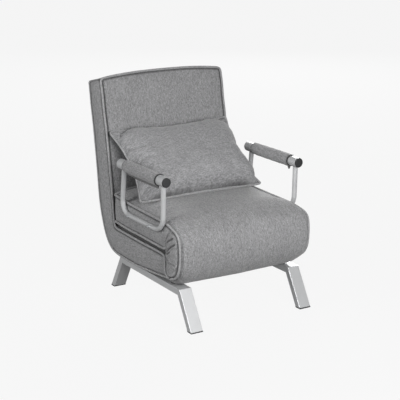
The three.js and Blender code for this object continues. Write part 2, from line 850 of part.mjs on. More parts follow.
function ratchetSector(side) {
  const ends = faces(side, outerPlateFace - plateThickness, outerPlateFace);
  const eye = strap([[reclinePivotDistance, reclinePivotHeight, reclineEyeRadius]]);
  const solid = joined([sectorOutline(), eye, sectorNeck(0)].map((points) => plate(points, ...ends)));
  const at = [0, reclinePivotDistance, reclinePivotHeight];
  return cut(solid, [holeThrough(ends, at, reclinePinRadius + pinClearance, eyeSides)]);
}

function sectorPockets() {
  const round = strap([[reclinePivotDistance, reclinePivotHeight, sectorRadius + layerGap / 2]]);
  return [-1, 1].flatMap((side) =>
    [round, sectorNeck(layerGap)].map((points) => hingeRoom(side, points, 2 * seatGap)),
  );
}

// Places in the backrest's frame, from the recline hinge line
const pawlPivot = [
  pawlPivotRadius * Math.cos(pawlPivotAngle * RADIAN),
  pawlPivotRadius * Math.sin(pawlPivotAngle * RADIAN),
];
const backRailFoot = 4 * railRadius;
const backRailTop = backLength - 4 * railRadius;
const supportDepth = backThickness - backFrontOffset - backFrontBow / 2 + supportStandoff;

// The arm from the hinge line past the pawl's pin and along the rail, a spare larger all round
function ratchetArmStraps(spare) {
  const rootZ = backRailFoot + 3 * railRadius;
  const elbow = [backRailDepth / 2, rootZ - railRadius, railRadius * strapShare + spare];
  return [
    strap([
      [0, 0, reclineEyeRadius + spare],
      [...pawlPivot, pawlEyeRadius + plateThickness + spare],
      elbow,
    ]),
    strap([
      elbow,
      [backRailDepth, rootZ, railRadius * strapShare + spare],
      [backRailDepth, rootZ + 2 * railRadius, railRadius * strapShare + spare],
    ]),
  ];
}

function ratchetArm(side) {
  const ends = faces(side, innerPlateFace - plateThickness, innerPlateFace);
  const solid = joined(ratchetArmStraps(0).map((points) => plate(points, ...ends)));
  const hole = holeThrough(ends, [0, 0, 0], reclinePinRadius + pinClearance, eyeSides);
  const pinEnds = faces(side, innerPlateFace - plateThickness / 2, outerPlateFace + seatGap);
  return cut(solid, [hole]).add(bar("x", ...pinEnds, [0, ...pawlPivot], pawlPinRadius));
}

// The pawl at rest, its tooth in the first notch
function pawl(side) {
  const ends = faces(side, outerPlateFace - plateThickness, outerPlateFace);
  const along = [Math.cos(firstNotchAngle * RADIAN), Math.sin(firstNotchAngle * RADIAN)];
  const across = [-along[1], along[0]];
  const place = (radius, offset) => [0, 1].map((k) => along[k] * radius + across[k] * offset);
  const tip = sectorRadius - notchDepth + notchClearance;
  const head = sectorRadius + notchClearance;
  const wide = notchWidth / 2 - notchClearance;
  const tooth = [
    place(tip, -wide * toothTipShare),
    place(head + notchDepth, -wide),
    place(head + notchDepth, wide),
    place(tip, wide * toothTipShare),
  ];
  const shoulder = sectorRadius + notchDepth;
  const arm = strap([
    [...pawlPivot, pawlEyeRadius],
    [...place(shoulder + notchClearance, 0), notchWidth / 2 + notchClearance],
  ]);
  const hole = holeThrough(ends, [0, ...pawlPivot], pawlPinRadius + pinClearance, railSides);
  const keep = holeThrough(ends, [0, 0, 0], head, sectorSides);
  return plate(arm, ...ends).subtract(keep).add(plate(tooth, ...ends)).subtract(hole);
}

// Backrest, in its own frame: z runs up the back from the recline hinge line, y to its rear

function backOutline(full) {
  const front = -backFrontOffset - (full ? backFaceCrown : 0);
  const rear = backThickness - backFrontOffset;
  const half = backLength / 2;
  const topFront = backLength + (full ? backTopCrown : 0);
  const topMiddle = topFront - backTopDrop / 2 + (full ? backTopDome : 0);
  return roundedOutline(
    [
      [-backFrontOffset, endGap, 0],
      [front, backHeelRounding, backHeelRounding],
      [front - backFrontBow, half, half / 2],
      [front, topFront, seamRounding],
      [-backFrontOffset + backTopThickness / 2, topMiddle, 0],
      [-backFrontOffset + backTopThickness, topFront - backTopDrop, seamRounding],
      [rear, backHeelRounding * 2, backHeelRounding],
      [rear - endGap, backHeelRounding, backHeelRounding / 2],
      [backHeelDepth + (full ? cornerCrown : 0), endGap, 0],
    ],
    2,
  );
}

function backCushion() {
  const grown = railRadius + foamClearance;
  const frame = backLadder(grown, foamClearance);
  const sectorRoom = strap([[0, 0, sectorRadius + layerGap / 2]]);
  const pawlRoom = strap([
    [0, 0, reclineEyeRadius],
    [...pawlPivot, pawlEyeRadius + layerGap],
    [sectorRadius, pawlPivotRadius, pawlEyeRadius + layerGap],
  ]);
  const rooms = [sectorRoom, pawlRoom, ...ratchetArmStraps(layerGap)];
  const armRoom = [-1, 1].flatMap((side) => rooms.map((points) => hingeRoom(side, points, 2 * seatGap)));
  const slots = [-1, 1].map((side) => {
    const ends = bracketFaces(side);
    return plate(
      strap([
        [backRailDepth, supportHeight, supportEyeRadius + foamClearance],
        [2 * supportDepth, supportHeight, supportEyeRadius + foamClearance],
      ]),
      ends[0] - foamClearance,
      ends[1] + foamClearance,
    );
  });
  const form = upholstered(backOutline(false), backOutline(true), backFullness);
  return cut(form, [frame, ...armRoom, ...slots]);
}

function backLadder(radius, spare) {
  const rails = [-1, 1].map((side) =>
    bar("z", backRailFoot - spare, backRailTop + spare, [side * upperRailInset, backRailDepth, 0], radius),
  );
  const crosses = [backRailFoot + 8 * railRadius, supportHeight, backRailTop - 2 * railRadius].map((z) =>
    bar("x", -upperRailInset, upperRailInset, [0, backRailDepth, z], radius),
  );
  return joined([...rails, ...crosses]);
}

function backFrame() {
  const bores = [-1, 1].map((side) =>
    bar(
      "z",
      backRailFoot - railWall,
      backRailTop + railWall,
      [side * upperRailInset, backRailDepth, 0],
      railRadius - railWall,
    ),
  );
  return cut(backLadder(railRadius, 0), bores);
}

// Fold-out support leg: it hangs from two brackets behind the backrest

function bracketFaces(side) {
  const outer = supportWidth / 2 - supportTubeRadius - plateGap;
  return faces(side, outer - plateThickness, outer);
}

function supportBracket(side) {
  const ends = bracketFaces(side);
  const rootY = backRailDepth + railRadius + seatGap;
  const outline = strap([
    [supportDepth, supportHeight, supportEyeRadius],
    [rootY + supportEyeRadius, supportHeight, supportEyeRadius],
  ]);
  const railAt = [0, backRailDepth, supportHeight];
  const seat = bar("x", -cushionWidth, cushionWidth, railAt, railRadius + seatGap);
  const at = [0, supportDepth, supportHeight];
  const headFrom = supportWidth / 2 + supportTubeRadius + plateGap;
  const pinFrom = Math.min(...ends.map(Math.abs));
  const pinEnds = faces(side, pinFrom, headFrom + pinHeadThickness);
  const pin = bar("x", ...pinEnds, at, supportPinRadius, pinSides);
  const headEnds = faces(side, headFrom, headFrom + pinHeadThickness);
  const head = bar("x", ...headEnds, at, supportPinRadius * 2, pinSides);
  return joined([plate(outline, ...ends).subtract(seat), pin, head]);
}

// How far below its pivot the leg's cross run lies, so that its feet reach the floor under the flat bed
const supportDrop =
  leaned(supportDepth, supportHeight, backLean + reclineTravel)[1] - supportFootRadius - floorClearance;

function supportLeg() {
  const x = supportWidth / 2;
  const path = bentPath([
    [-x, 0, supportOverhang],
    [-x, 0, -supportDrop, supportBend],
    [x, 0, -supportDrop, supportBend],
    [x, 0, supportOverhang],
  ]);
  const hole = bar("x", -cushionWidth, cushionWidth, [0, 0, 0], supportPinRadius + pinClearance, pinSides);
  return tube(path, supportTubeRadius, tubeSteps, tubeSides).subtract(hole);
}

function supportFoot(side) {
  const x = side * (supportWidth / 2 - supportFootInset);
  const half = supportFootLength / 2;
  const at = [0, 0, -supportDrop];
  const sleeve = bar("x", x - half, x + half, at, supportFootRadius, eyeSides);
  return sleeve.subtract(bar("x", x - 2 * half, x + 2 * half, at, supportTubeRadius + seatGap, eyeSides));
}

// Armrests

function armLoop(side) {
  const x = side * armCentre;
  const path = bentPath([
    [x, -armLoopFrontDistance, armBarHeight],
    [x, -armLoopFrontFootDistance, seatRailHeight, armFrontBend],
    [x, armLoopRearFootDistance, seatRailHeight, armRearBend],
    [x, armLoopRearDistance, armBarHeight],
  ]);
  const at = [x, 0, armBarHeight];
  const barRoom = bar("y", -2 * armBarFront, 2 * armBarLength, at, armBarRadius + seatGap, barSides);
  const above = block(
    [x - armBarRadius, x + armBarRadius],
    [-armBarLength, armBarLength],
    [armBarHeight - armBarRadius / 2, 2 * armBarHeight],
  );
  const loop = tube(path, armLoopRadius, tubeSteps, tubeSides);
  return cut(loop, [barRoom, above, ...armBoltHoles(upperRailInset)]);
}

function armBar(side) {
  const at = [side * armCentre, 0, armBarHeight];
  const rear = armBarLength - armBarFront;
  const outer = bar("y", -armBarFront, rear, at, armBarRadius, barSides);
  const ends = [-armBarFront - armBarWall, rear + armBarWall];
  return outer.subtract(bar("y", ...ends, at, armBarRadius - armBarWall, barSides));
}

function armPad(side) {
  const inner = armBarRadius + seatGap;
  const profile = [
    [inner, 0],
    [armPadRadius - armPadEdge, 0],
    [armPadRadius - armPadEdge / 3, armPadEdge / 3],
    [armPadRadius, armPadEdge],
    [armPadRadius, armPadLength - armPadEdge],
    [armPadRadius - armPadEdge / 3, armPadLength - armPadEdge / 3],
    [armPadRadius - armPadEdge, armPadLength],
    [inner, armPadLength],
    [inner, 0],
  ];
  return turned(profile, [side * armCentre, -armPadFront, armBarHeight], barSides);
}

function armCap(side, end) {
  const plug = armBarRadius - armBarWall - seatGap;
  const profile = [
    [0, -armCapPlug],
    [plug, -armCapPlug],
    [plug, seatGap],
    [armCapRadius + seatGap, seatGap],
    [armCapRadius + seatGap, armCapThickness * capShares.rim],
    [armCapRadius * capShares.slopeRadius, armCapThickness * capShares.slope],
    [armCapRadius * capShares.flat, armCapThickness],
    [0, armCapThickness],
  ];
  const y = end < 0 ? -armBarFront : armBarLength - armBarFront;
  const outwards = profile.map(([radius, distance]) => [radius, end * distance]);
  return turned(outwards, [side * armCentre, y, armBarHeight], eyeSides);
}

function armBolt(side, y) {
  const seat = armCentre + armLoopRadius + seatGap;
  const at = [0, y, seatRailHeight];
  const head = bar("x", ...faces(side, seat, seat + armBoltHeadHeight), at, armBoltHeadRadius, pinSides);
  const shankEnds = faces(side, upperRailInset, seat + armBoltHeadHeight / 2);
  return head.add(bar("x", ...shankEnds, at, armBoltRadius));
}

function armSpacer(side, y) {
  const ends = faces(side, halfWidth + seatGap, armCentre - armLoopRadius - seatGap);
  const at = [0, y, seatRailHeight];
  const spacer = bar("x", ends[0], ends[1], at, armSpacerRadius, eyeSides);
  return spacer.subtract(holeThrough(ends, at, armBoltRadius + seatGap, railSides));
}

// Pillow: two swelling faces that meet in a seam all round, with the sides drawn in between its corners.
// In its own frame x runs across, y up the pillow from its middle and z out of its front face.

const pillowShares = {
  across: [-1, -0.97, -0.88, -0.7, -0.45, -0.15, 0.15, 0.45, 0.7, 0.88, 0.97, 1],
  up: [-1, -0.95, -0.8, -0.5, -0.15, 0.2, 0.55, 0.82, 0.95, 1],
};

function pillowPoint(u, v, face) {
  const swell = face > 0 ? pillowFrontSwell : -pillowRearSwell;
  const { flatness, steepness } = pillowSwellShares;
  const depth = ((1 - Math.abs(u) ** flatness) * (1 - Math.abs(v) ** flatness)) ** steepness;
  const inwards = (1 - v * v) * pillowSidePull;
  const downwards = (1 - u * u) * (v < 0 ? pillowFootPull : pillowTopPull);
  return [
    u * (pillowWidth / 2 - inwards),
    v * (pillowHeight / 2 - downwards),
    (face * pillowSeamThickness) / 2 + swell * depth,
  ];
}

function pillow() {
  const { across, up } = pillowShares;
  const grid = (face) => up.flatMap((v) => across.map((u) => pillowPoint(u, v, face)));
  const positions = [...grid(1), ...grid(-1)];
  const columns = across.length;
  const sheet = columns * up.length;
  const index = [];
  const quad = (a, b, c, d) => index.push(a, b, c, a, c, d);
  for (let j = 0; j < up.length - 1; j += 1) {
    for (let i = 0; i < columns - 1; i += 1) {
      const a = j * columns + i;
      quad(a, a + 1, a + columns + 1, a + columns);
      quad(sheet + a, sheet + a + columns, sheet + a + columns + 1, sheet + a + 1);
    }
  }
  const rim = [
    ...across.map((_, i) => i),
    ...up.slice(1).map((_, j) => (j + 2) * columns - 1),
    ...across.slice(1).map((_, i) => sheet - 2 - i),
    ...up.slice(1, -1).map((_, j) => (up.length - 2 - j) * columns),
  ];
  rim.forEach((a, i) => {
    const b = rim[(i + 1) % rim.length];
    quad(a, sheet + a, sheet + b, b);
  });
  const geometry = new THREE.BufferGeometry();
  geometry.setAttribute("position", new THREE.Float32BufferAttribute(positions.flat(), 3));
  geometry.setIndex(index);
  geometry.rotateX(QUARTER - pillowTilt);
  const rise = pillowUpperSeamHeight - (pillowHeight / 2) * Math.cos(pillowTilt);
  geometry.translate(0, (pillowLowerSeamDistance + pillowUpperSeamDistance) / 2, rise);
  // its foot is pressed flat where it rests on the seat
  return solidOf(geometry).subtract(seatForm(layerGap / 2));
}

// Assembly

const chair = new THREE.Group();
const chassis = new THREE.Group();
const backrest = new THREE.Group();
const support = new THREE.Group();
chair.add(chassis, backrest);
backrest.add(support);
const sides = [["left", -1], ["right", 1]];

for (const [word, side] of sides) {
  chassis.add(piece(word + "_leg_frame", legFrame(side), finishes.coat));
  [["front", -1], ["rear", 1]].forEach(([place, end], i) => {
    const name = word + "_" + place;
    const armBoltPlace = armBoltPlaces()[i];
    chassis.add(piece(name + "_foot_cap", footCap(side, end), finishes.plastic));
    chassis.add(piece(name + "_leg_bolt", legBolt(side, legBoltPlaces()[i]), finishes.zinc));
    chassis.add(piece(name + "_arm_cap", armCap(side, end), finishes.plastic));
    chassis.add(piece(name + "_arm_bolt", armBolt(side, armBoltPlace), finishes.zinc));
    chassis.add(piece(name + "_arm_spacer", armSpacer(side, armBoltPlace), finishes.plastic));
  });
  chassis.add(piece(word + "_arm_loop", armLoop(side), finishes.coat));
  chassis.add(piece(word + "_arm_bar", armBar(side), finishes.coat));
  chassis.add(piece(word + "_arm_pad", armPad(side), finishes.linen));
  chassis.add(piece(word + "_lower_fold_plate", foldPlate(side, false), finishes.steel));
  chassis.add(piece(word + "_upper_fold_plate", foldPlate(side, true), finishes.steel));
  const foldPin = hingePin(side, -foldPivotFront, foldPivotHeight, foldPinRadius, foldPinHeadRadius);
  chassis.add(piece(word + "_fold_pin", foldPin, finishes.zinc));
  chassis.add(piece(word + "_ratchet_sector", ratchetSector(side), finishes.steel));
  const reclinePin = hingePin(
    side,
    reclinePivotDistance,
    reclinePivotHeight,
    reclinePinRadius,
    reclinePinHeadRadius,
  );
  chassis.add(piece(word + "_ratchet_pin", reclinePin, finishes.zinc));
  backrest.add(piece(word + "_ratchet_arm", ratchetArm(side), finishes.steel));
  backrest.add(piece(word + "_pawl", pawl(side), finishes.zinc));
  backrest.add(piece(word + "_support_bracket", supportBracket(side), finishes.steel));
  support.add(piece(word + "_support_foot", supportFoot(side), finishes.rubber));
}

chassis.add(piece("middle_frame", middleFrame(), finishes.steel));
chassis.add(piece("middle_cushion", middleCushion(), finishes.linen));
chassis.add(piece("front_fold_pad", frontFoldPad(), finishes.linen));
chassis.add(piece("rear_corner_pad", rearCornerPad(), finishes.linen));
chassis.add(piece("seat_frame", seatFrame(), finishes.steel));
chassis.add(piece("seat_cushion", seatCushion(), finishes.linen));

backrest.add(piece("back_frame", backFrame(), finishes.steel));
backrest.add(piece("back_cushion", backCushion(), finishes.linen));
backrest.position.set(0, reclinePivotDistance, reclinePivotHeight);
backrest.rotation.x = -backLean * RADIAN;

// the support leg hangs plumb
support.add(piece("support_leg", supportLeg(), finishes.coat));
support.position.set(0, supportDepth, supportHeight);
support.rotation.x = backLean * RADIAN;

// the pillow leans on the backrest with its lower seam on the seat
chassis.add(piece("pillow", pillow(), finishes.linen));

// the origin lies on the floor, under the middle of the whole chair
chair.updateMatrixWorld(true);
const extent = new THREE.Box3().setFromObject(chair, true);
chair.position.y = -(extent.min.y + extent.max.y) / 2;

export default chair;
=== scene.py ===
# %% [markdown]
# # A convertible chair bed
# The chair is one long mattress in three sections on two bent leg frames. The seat is folded over the
# middle section, the backrest stands up from its rear end, and a loose pillow leans in between. Two
# armrests are bolted to the seat's sides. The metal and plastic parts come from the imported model, and the
# upholstery is made here: the mattress as one cover, so that no seam shows where it bends.

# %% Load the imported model
import math
import bmesh
import bpy
import numpy as np
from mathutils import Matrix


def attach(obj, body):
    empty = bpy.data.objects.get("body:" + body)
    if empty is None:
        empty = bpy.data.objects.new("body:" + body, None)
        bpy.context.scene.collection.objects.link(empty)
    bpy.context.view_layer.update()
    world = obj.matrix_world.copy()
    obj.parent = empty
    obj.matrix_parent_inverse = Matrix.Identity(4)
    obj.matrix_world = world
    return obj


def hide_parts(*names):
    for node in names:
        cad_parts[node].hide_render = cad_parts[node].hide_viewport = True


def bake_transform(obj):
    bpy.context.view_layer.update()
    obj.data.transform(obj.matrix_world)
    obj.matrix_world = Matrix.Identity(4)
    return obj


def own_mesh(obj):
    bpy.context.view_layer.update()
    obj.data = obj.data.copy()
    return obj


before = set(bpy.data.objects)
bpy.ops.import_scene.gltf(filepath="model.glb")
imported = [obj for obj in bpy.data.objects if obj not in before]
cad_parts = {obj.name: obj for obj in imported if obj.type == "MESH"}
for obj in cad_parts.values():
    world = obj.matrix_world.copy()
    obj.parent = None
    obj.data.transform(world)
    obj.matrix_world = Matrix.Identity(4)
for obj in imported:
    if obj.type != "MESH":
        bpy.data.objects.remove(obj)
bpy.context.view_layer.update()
MM = 0.001

# %% [markdown]
# The camera stands in front of the chair's left arm and a little above it. Its place was worked out from
# the corners of the legs, arms and seams, so that the model falls on the same pixels.

# %% Camera
def turned_to(way):
    """The rotation that points a camera or lamp along a direction: its tilt from straight down is the arc
    cosine of the downward part, and its turn is the arc tangent of the level parts."""
    return math.acos(-way[2] / np.linalg.norm(way)), 0, math.atan2(-way[0], way[1])


PHOTO_SIDE = 400
camera_place = np.array([-2.2383, -3.6560, 1.5496])
camera_aim = np.array([-0.0379, -0.0713, 0.3942])
focal_pixels = 1143.07
sensor_width = 36.0
camera = bpy.data.objects.new("camera", bpy.data.cameras.new("camera"))
bpy.context.scene.collection.objects.link(camera)
camera.data.sensor_width = sensor_width
camera.data.lens = focal_pixels * sensor_width / PHOTO_SIDE
camera.location = camera_place
camera.rotation_euler = turned_to(camera_aim - camera_place)
bpy.context.scene.camera = camera
print("lens", round(camera.data.lens, 2), "mm")

# %% [markdown]
# Two small tools for smooth lines. A line is given by a few measured points in millimetres, and a cubic
# runs through them. Nothing else is needed to draw every seam and every outline of the upholstery.

# %% Smooth lines
def spline(points, at):
    """The curve through the points, where at counts them from 0. Between b and c, with a before and d
    after, it is b + (c-a)/2 s + (a - 5/2 b + 2c - d/2) s^2 + (3b - a - 3c + d)/2 s^3, s from 0 to 1."""
    p = np.asarray(points, float)
    p = np.vstack([2 * p[0] - p[1], p, 2 * p[-1] - p[-2]])
    first = np.clip(np.floor(at).astype(int), 0, len(p) - 4)
    s = (np.asarray(at) - first)[:, None]
    a, b, c, d = p[first], p[first + 1], p[first + 2], p[first + 3]
    return 0.5 * (2 * b + (c - a) * s + (2 * a - 5 * b + 4 * c - d) * s**2
                  + (3 * b - a - 3 * c + d) * s**3)


def run_along(points):
    """The length travelled from a line's first point to each of its points."""
    return np.append(0, np.cumsum(np.linalg.norm(np.diff(points, axis=0), axis=1)))


def even_steps(points, first, last, count):
    """Where the curve from point number first to last is cut into steps of one length."""
    fine = np.linspace(first, last, 60 * (last - first) + 1)
    run = run_along(spline(points, fine)[:, :2])
    return np.interp(np.linspace(0, run[-1], count), run, fine)


def smooth_step(x, low, high):
    """0 below low, 1 above high, and 3t^2 - 2t^3 of the share t between them."""
    t = np.clip((x - low) / (high - low), 0, 1)
    return t * t * (3 - 2 * t)


# %% [markdown]
# Every new piece is put into Blender by the same few lines: points, faces, a cloth map in metres for the
# weave, and a value of painted shade for the dark lines beside the seams. The sign of the enclosed volume
# tells whether the faces look outwards.

# %% From arrays to a mesh
def set_value(mesh, key, value):
    mesh.attributes.new(key, "FLOAT", "POINT").data.foreach_set("value", value.astype(np.float32))


def set_points(mesh, points):
    """Moves a mesh's points to places given in millimetres."""
    mesh.vertices.foreach_set("co", (points * MM).ravel())


def mesh_from(name, points, faces, corners_uv=None, values=None):
    """A mesh of quads. The volume is the sum over triangles of a . (b x c) / 6; if it is negative, every
    face is turned round."""
    points, faces = np.asarray(points, float), np.asarray(faces, int)
    fan = np.vstack([faces[:, [0, 1, 2]], faces[:, [0, 2, 3]]])
    a, b, c = points[fan[:, 0]], points[fan[:, 1]], points[fan[:, 2]]
    if np.einsum("ij,ij->i", a, np.cross(b, c)).sum() < 0:
        faces = faces[:, ::-1]
        corners_uv = None if corners_uv is None else corners_uv[:, ::-1]
    mesh = bpy.data.meshes.new(name)
    mesh.vertices.add(len(points))
    mesh.vertices.foreach_set("co", points.ravel())
    mesh.loops.add(4 * len(faces))
    mesh.loops.foreach_set("vertex_index", faces.ravel())
    mesh.polygons.add(len(faces))
    mesh.polygons.foreach_set("loop_start", 4 * np.arange(len(faces)))
    mesh.polygons.foreach_set("use_smooth", np.ones(len(faces), bool))
    mesh.update(calc_edges=True)
    if corners_uv is not None:
        layer = mesh.uv_layers.new(name="cloth")
        layer.data.foreach_set("uv", np.ascontiguousarray(corners_uv).ravel())
    for key, value in (values or {}).items():
        set_value(mesh, key, value)
    mesh.validate()
    return mesh


def piece_from(name, mesh):
    made = bpy.data.objects.new(name, mesh)
    bpy.context.scene.collection.objects.link(made)
    return made


def quads(grid):
    """The four corners of each cell of a grid of point numbers, in rows and columns."""
    return np.stack([grid[:-1, :-1], grid[1:, :-1], grid[1:, 1:], grid[:-1, 1:]], axis=-1).reshape(-1, 4)


# %% [markdown]
# ## The cover, seen from the side
# The long mattress is drawn as two lines from the top of the back to the rear of the seat. The outer one
# goes down the back's rear face, round the heel, under the middle section, up the front and over the seat.
# The inner one goes down the back's front face, along the top of the middle section, turns round the end
# of the slit and comes back under the seat. Each point has its place forward and up at the side seam, and
# how far the cover stands out from it in the middle of the chair. The places are the photograph's welts.

# %% Outlines in millimetres: y, z, crown
outer_line = np.array([
    (376, 806, 2), (370, 775, 3), (361.7, 716, 3), (350, 658, 3), (338.5, 590, 3), (328, 520, 3),
    (319.7, 460, 3), (311, 385, 3), (303, 335, 3), (293, 297, 4),
    (279, 258, 6), (263, 222, 9), (240, 190, 9), (213, 168, 9), (184, 158, 9),
    (150, 153, 8.5), (100, 151, 6.5), (40, 151, 6.5), (-21, 152, 7.5), (-99, 159, 14.5),
    (-143, 162.5, 18), (-185, 167, 22.5),
    (-229, 171.5, 26), (-267, 177, 23), (-297, 188, 14.5), (-317, 207, 16), (-329, 231, 18),
    (-334, 258, 19.5), (-335.5, 282, 19.5), (-334.5, 308, 19), (-331, 335, 14), (-320, 353, 9),
    (-300, 361.5, 10), (-275, 367.5, 15), (-249, 372, 18), (-217, 376, 20),
    (-185, 377, 20), (-100, 378.5, 20), (-28, 380, 20), (60, 383, 20), (120, 387, 20), (175.7, 391, 20)])
inner_line = np.array([
    (280.7, 831, 4), (273.7, 808, 5), (264.7, 771, 5.5), (255.7, 713, 6), (242.7, 656, 6),
    (232.7, 599, 6), (222.7, 541, 7), (214.7, 483, 7), (204.7, 424, 7), (196.7, 366, 6), (190.7, 306, 4),
    (187, 284, 2), (184, 268, 1), (176, 260, 0), (160, 257.5, 0),
    (100, 256.5, 3), (40, 255, 4.5), (-24, 254, 5), (-102, 254, 5), (-160, 254, 5), (-200, 254, 4),
    (-212, 259, 0), (-216, 266.5, 0), (-212, 274, 0),
    (-200, 275, 5), (-150, 276, 12), (-100, 277, 13), (-25, 278.5, 13), (60, 278.5, 12), (137, 281, 8),
    (175.7, 284, 0)])
# the sections: first and last point of each line, rows of the mesh, and how square the cover is (power)
sections = {
    "back": ((0, 9), (0, 10), 62, 3),
    "heel": ((9, 14), (10, 14), 18, 8),
    "middle": ((14, 21), (14, 20), 40, 20),
    "fold": ((21, 35), (20, 24), 52, 20),
    "seat": ((35, 41), (24, 30), 42, 6),
}
HALF_WIDTH = 275.0
PANEL_INSET = 2.0
FOLD_SPREAD = 9.0  # the fold is wider than the rest by this much a side
FOLD_FROM, FOLD_TO = 191, 341  # the run forward over which it widens
print(len(outer_line), "and", len(inner_line), "points, back", outer_line[:, 1].max(), "mm high")

# %% [markdown]
# A mesh bends well where its rows lie close. Each section gets its own number of rows, at even steps along
# its line. Across the chair the columns lie close beside the seams, where the welts and their valleys are.

# %% Rows and columns of the cover
row_at, row_section, row_power = [], [], []
for name, (outer_range, inner_range, count, power) in sections.items():
    skip = 1 if row_at else 0
    pair = np.stack([even_steps(outer_line, *outer_range, count),
                     even_steps(inner_line, *inner_range, count)])
    row_at.append(pair[:, skip:])
    row_section += [name] * (count - skip)
    row_power += [power] * (count - skip)
row_at = np.concatenate(row_at, axis=1)
row_section = np.array(row_section)
soften = np.ones(9) / 9
row_power = np.convolve(np.pad(np.array(row_power, float), 4, "edge"), soften, "valid")
ROWS = len(row_section)
edge_steps = np.array([0, 2.5, 6, 10, 15, 21, 28.5, 38])  # millimetres from the side seam
edge_steps = np.concatenate([edge_steps, np.linspace(edge_steps[-1], HALF_WIDTH, 21)[1:]])
station = 1 - edge_steps / HALF_WIDTH
station = np.concatenate([-station, station[-2::-1]])
COLUMNS = len(station)
print(ROWS, "rows and", COLUMNS, "columns")


# %% [markdown]
# Between the side seams the cover stands out by its crown times 1 - |s|^power, where s runs from -1 at
# the left seam to 1 at the right. A high power keeps it full almost to the seam, as foam does round the
# fold, and a low one gives the gentle swell of the backrest.

# %% The two broad sheets
def half_width_at(y):
    """Half the chair's width, which grows smoothly along the fold."""
    return HALF_WIDTH + FOLD_SPREAD * smooth_step(-y, FOLD_FROM, FOLD_TO)


def broad_sheet(line, at, turn, power):
    """Rows along a line by columns across the chair. The outward normal is the line's direction turned a
    quarter, and a point is seam + normal * crown * (1 - |s|^power), at x = s * half width."""
    seam = spline(line, at)
    ahead = spline(line, np.minimum(at + 0.02, len(line) - 1))[:, :2]
    behind = spline(line, np.maximum(at - 0.02, 0))[:, :2]
    way = (ahead - behind) / np.linalg.norm(ahead - behind, axis=1)[:, None]
    normal = turn * np.stack([-way[:, 1], way[:, 0]], axis=1)
    full = 1 - np.abs(station)[None, :] ** power[:, None]
    flat = seam[:, None, :2] + normal[:, None, :] * (seam[:, 2][:, None] * full)[:, :, None]
    across = station[None, :] * (half_width_at(flat[:, :, 0]) - PANEL_INSET)
    return np.dstack([across, flat])


outer_sheet = broad_sheet(outer_line, row_at[0], 1, row_power)
# the seat's underside sags at once behind its welt and closes the slit, so its power is high
inner_sheet = broad_sheet(inner_line, row_at[1], -1, np.where(row_section == "seat", 20, row_power))
print("fold", round(2 * outer_sheet[:, -1, 0].max()), "mm wide, back",
      round(2 * outer_sheet[0, -1, 0]), "mm")

# %% [markdown]
# The backrest's upper edge is an arc. The rows near it are lifted, most in the middle of the chair and not
# at all at the sides.

# %% The arc of the upper edge
TOP_RISE, TOP_REACH, ARC_POWER = 15.0, 150.0, 2.5
for sheet in (outer_sheet, inner_sheet):
    rise = smooth_step(sheet[:, :, 2], sheet[0, 0, 2] - TOP_REACH, sheet[0, 0, 2])
    rise[row_section != "back"] = 0
    sheet[:, :, 2] += TOP_RISE * rise * (1 - np.abs(station) ** ARC_POWER)
print("upper edge from", round(outer_sheet[0, 0, 2]), "to", round(outer_sheet[0, COLUMNS // 2, 2]), "mm")

# %% [markdown]
# The side panels join the two lines. They are sewn between welts, so they swell a little in the middle.
# The back's top panel and the seat's rear end close the cover.

# %% Side panels and ends
PANEL_STEPS = 15
panel_share = np.array([0, 0.022, 0.055, 0.10, 0.17, 0.27, 0.38])
panel_share = np.concatenate([panel_share, [0.5], 1 - panel_share[::-1]])
PANEL_SWELL, PANEL_POWER, END_POWER = 5.5, 0.35, 0.6


def joined_by(start, end, out, height, power):
    """Rows from one edge line to another. At share v the point is (1-v) start + v end, moved along out by
    height * (4 v (1-v))^power."""
    v = panel_share[1:-1][:, None, None]
    bow = (4 * v * (1 - v)) ** power
    return (1 - v) * start[None] + v * end[None] + bow * height[None, :, None] * np.asarray(out)[None, None]


side_panels = []
for side, column in ((-1, 0), (1, COLUMNS - 1)):
    side_panels.append(joined_by(outer_sheet[:, column], inner_sheet[:, column], (side, 0, 0),
                                 np.full(ROWS, PANEL_SWELL), PANEL_POWER))
TOP_DOME, END_SWELL = 6.0, 5.0
across_full = 1 - np.abs(station) ** 4
top_panel = joined_by(outer_sheet[0], inner_sheet[0], (0, 0.17, 0.98), TOP_DOME * across_full, END_POWER)
seat_end = joined_by(outer_sheet[-1], inner_sheet[-1], (0, 1, 0), END_SWELL * across_full, END_POWER)
print("top panel up to", round(top_panel[:, :, 2].max(), 1), "mm, side panels of", PANEL_STEPS, "steps")


# %% [markdown]
# The parts are numbered into one closed grid: round the section from the outer line over the seat's rear
# end, back along the inner line and over the top panel. The side panels use the same edge points, so the
# cover has no open edge anywhere.

# %% The closed grid
PANEL_CLOTH = 9.0  # length of cloth for each step of a side panel
inner_steps = PANEL_STEPS - 2
loop = np.concatenate([outer_sheet, seat_end, inner_sheet[::-1], top_panel[::-1]])
LOOP = len(loop)
number = np.arange(LOOP * COLUMNS).reshape(LOOP, COLUMNS)
closed = np.vstack([number, number[:1]])
welt_rows = (0, ROWS - 1, ROWS + inner_steps, LOOP - inner_steps - 1)
run_outer = run_along(outer_sheet[:, 0])
run_loop = np.append(run_along(loop[:, COLUMNS // 2]), 0)
run_loop[-1] = run_loop[-2] + np.linalg.norm(loop[0, COLUMNS // 2] - loop[-1, COLUMNS // 2])
uv_loop = np.dstack([np.repeat(run_loop[:, None], COLUMNS, 1), np.repeat(loop[:1, :, 0], LOOP + 1, 0)])


def corner_values(grid):
    """The values at the four corners of each cell, in the order of quads()."""
    return np.stack([grid[:-1, :-1], grid[1:, :-1], grid[1:, 1:], grid[:-1, 1:]], axis=2).reshape(
        -1, 4, grid.shape[-1])


# %% [markdown]
# Each side panel is a second grid whose border is taken from the first one: its four edges carry the point
# numbers of the two seams, the back's top and the seat's end, and only its inner points are new.

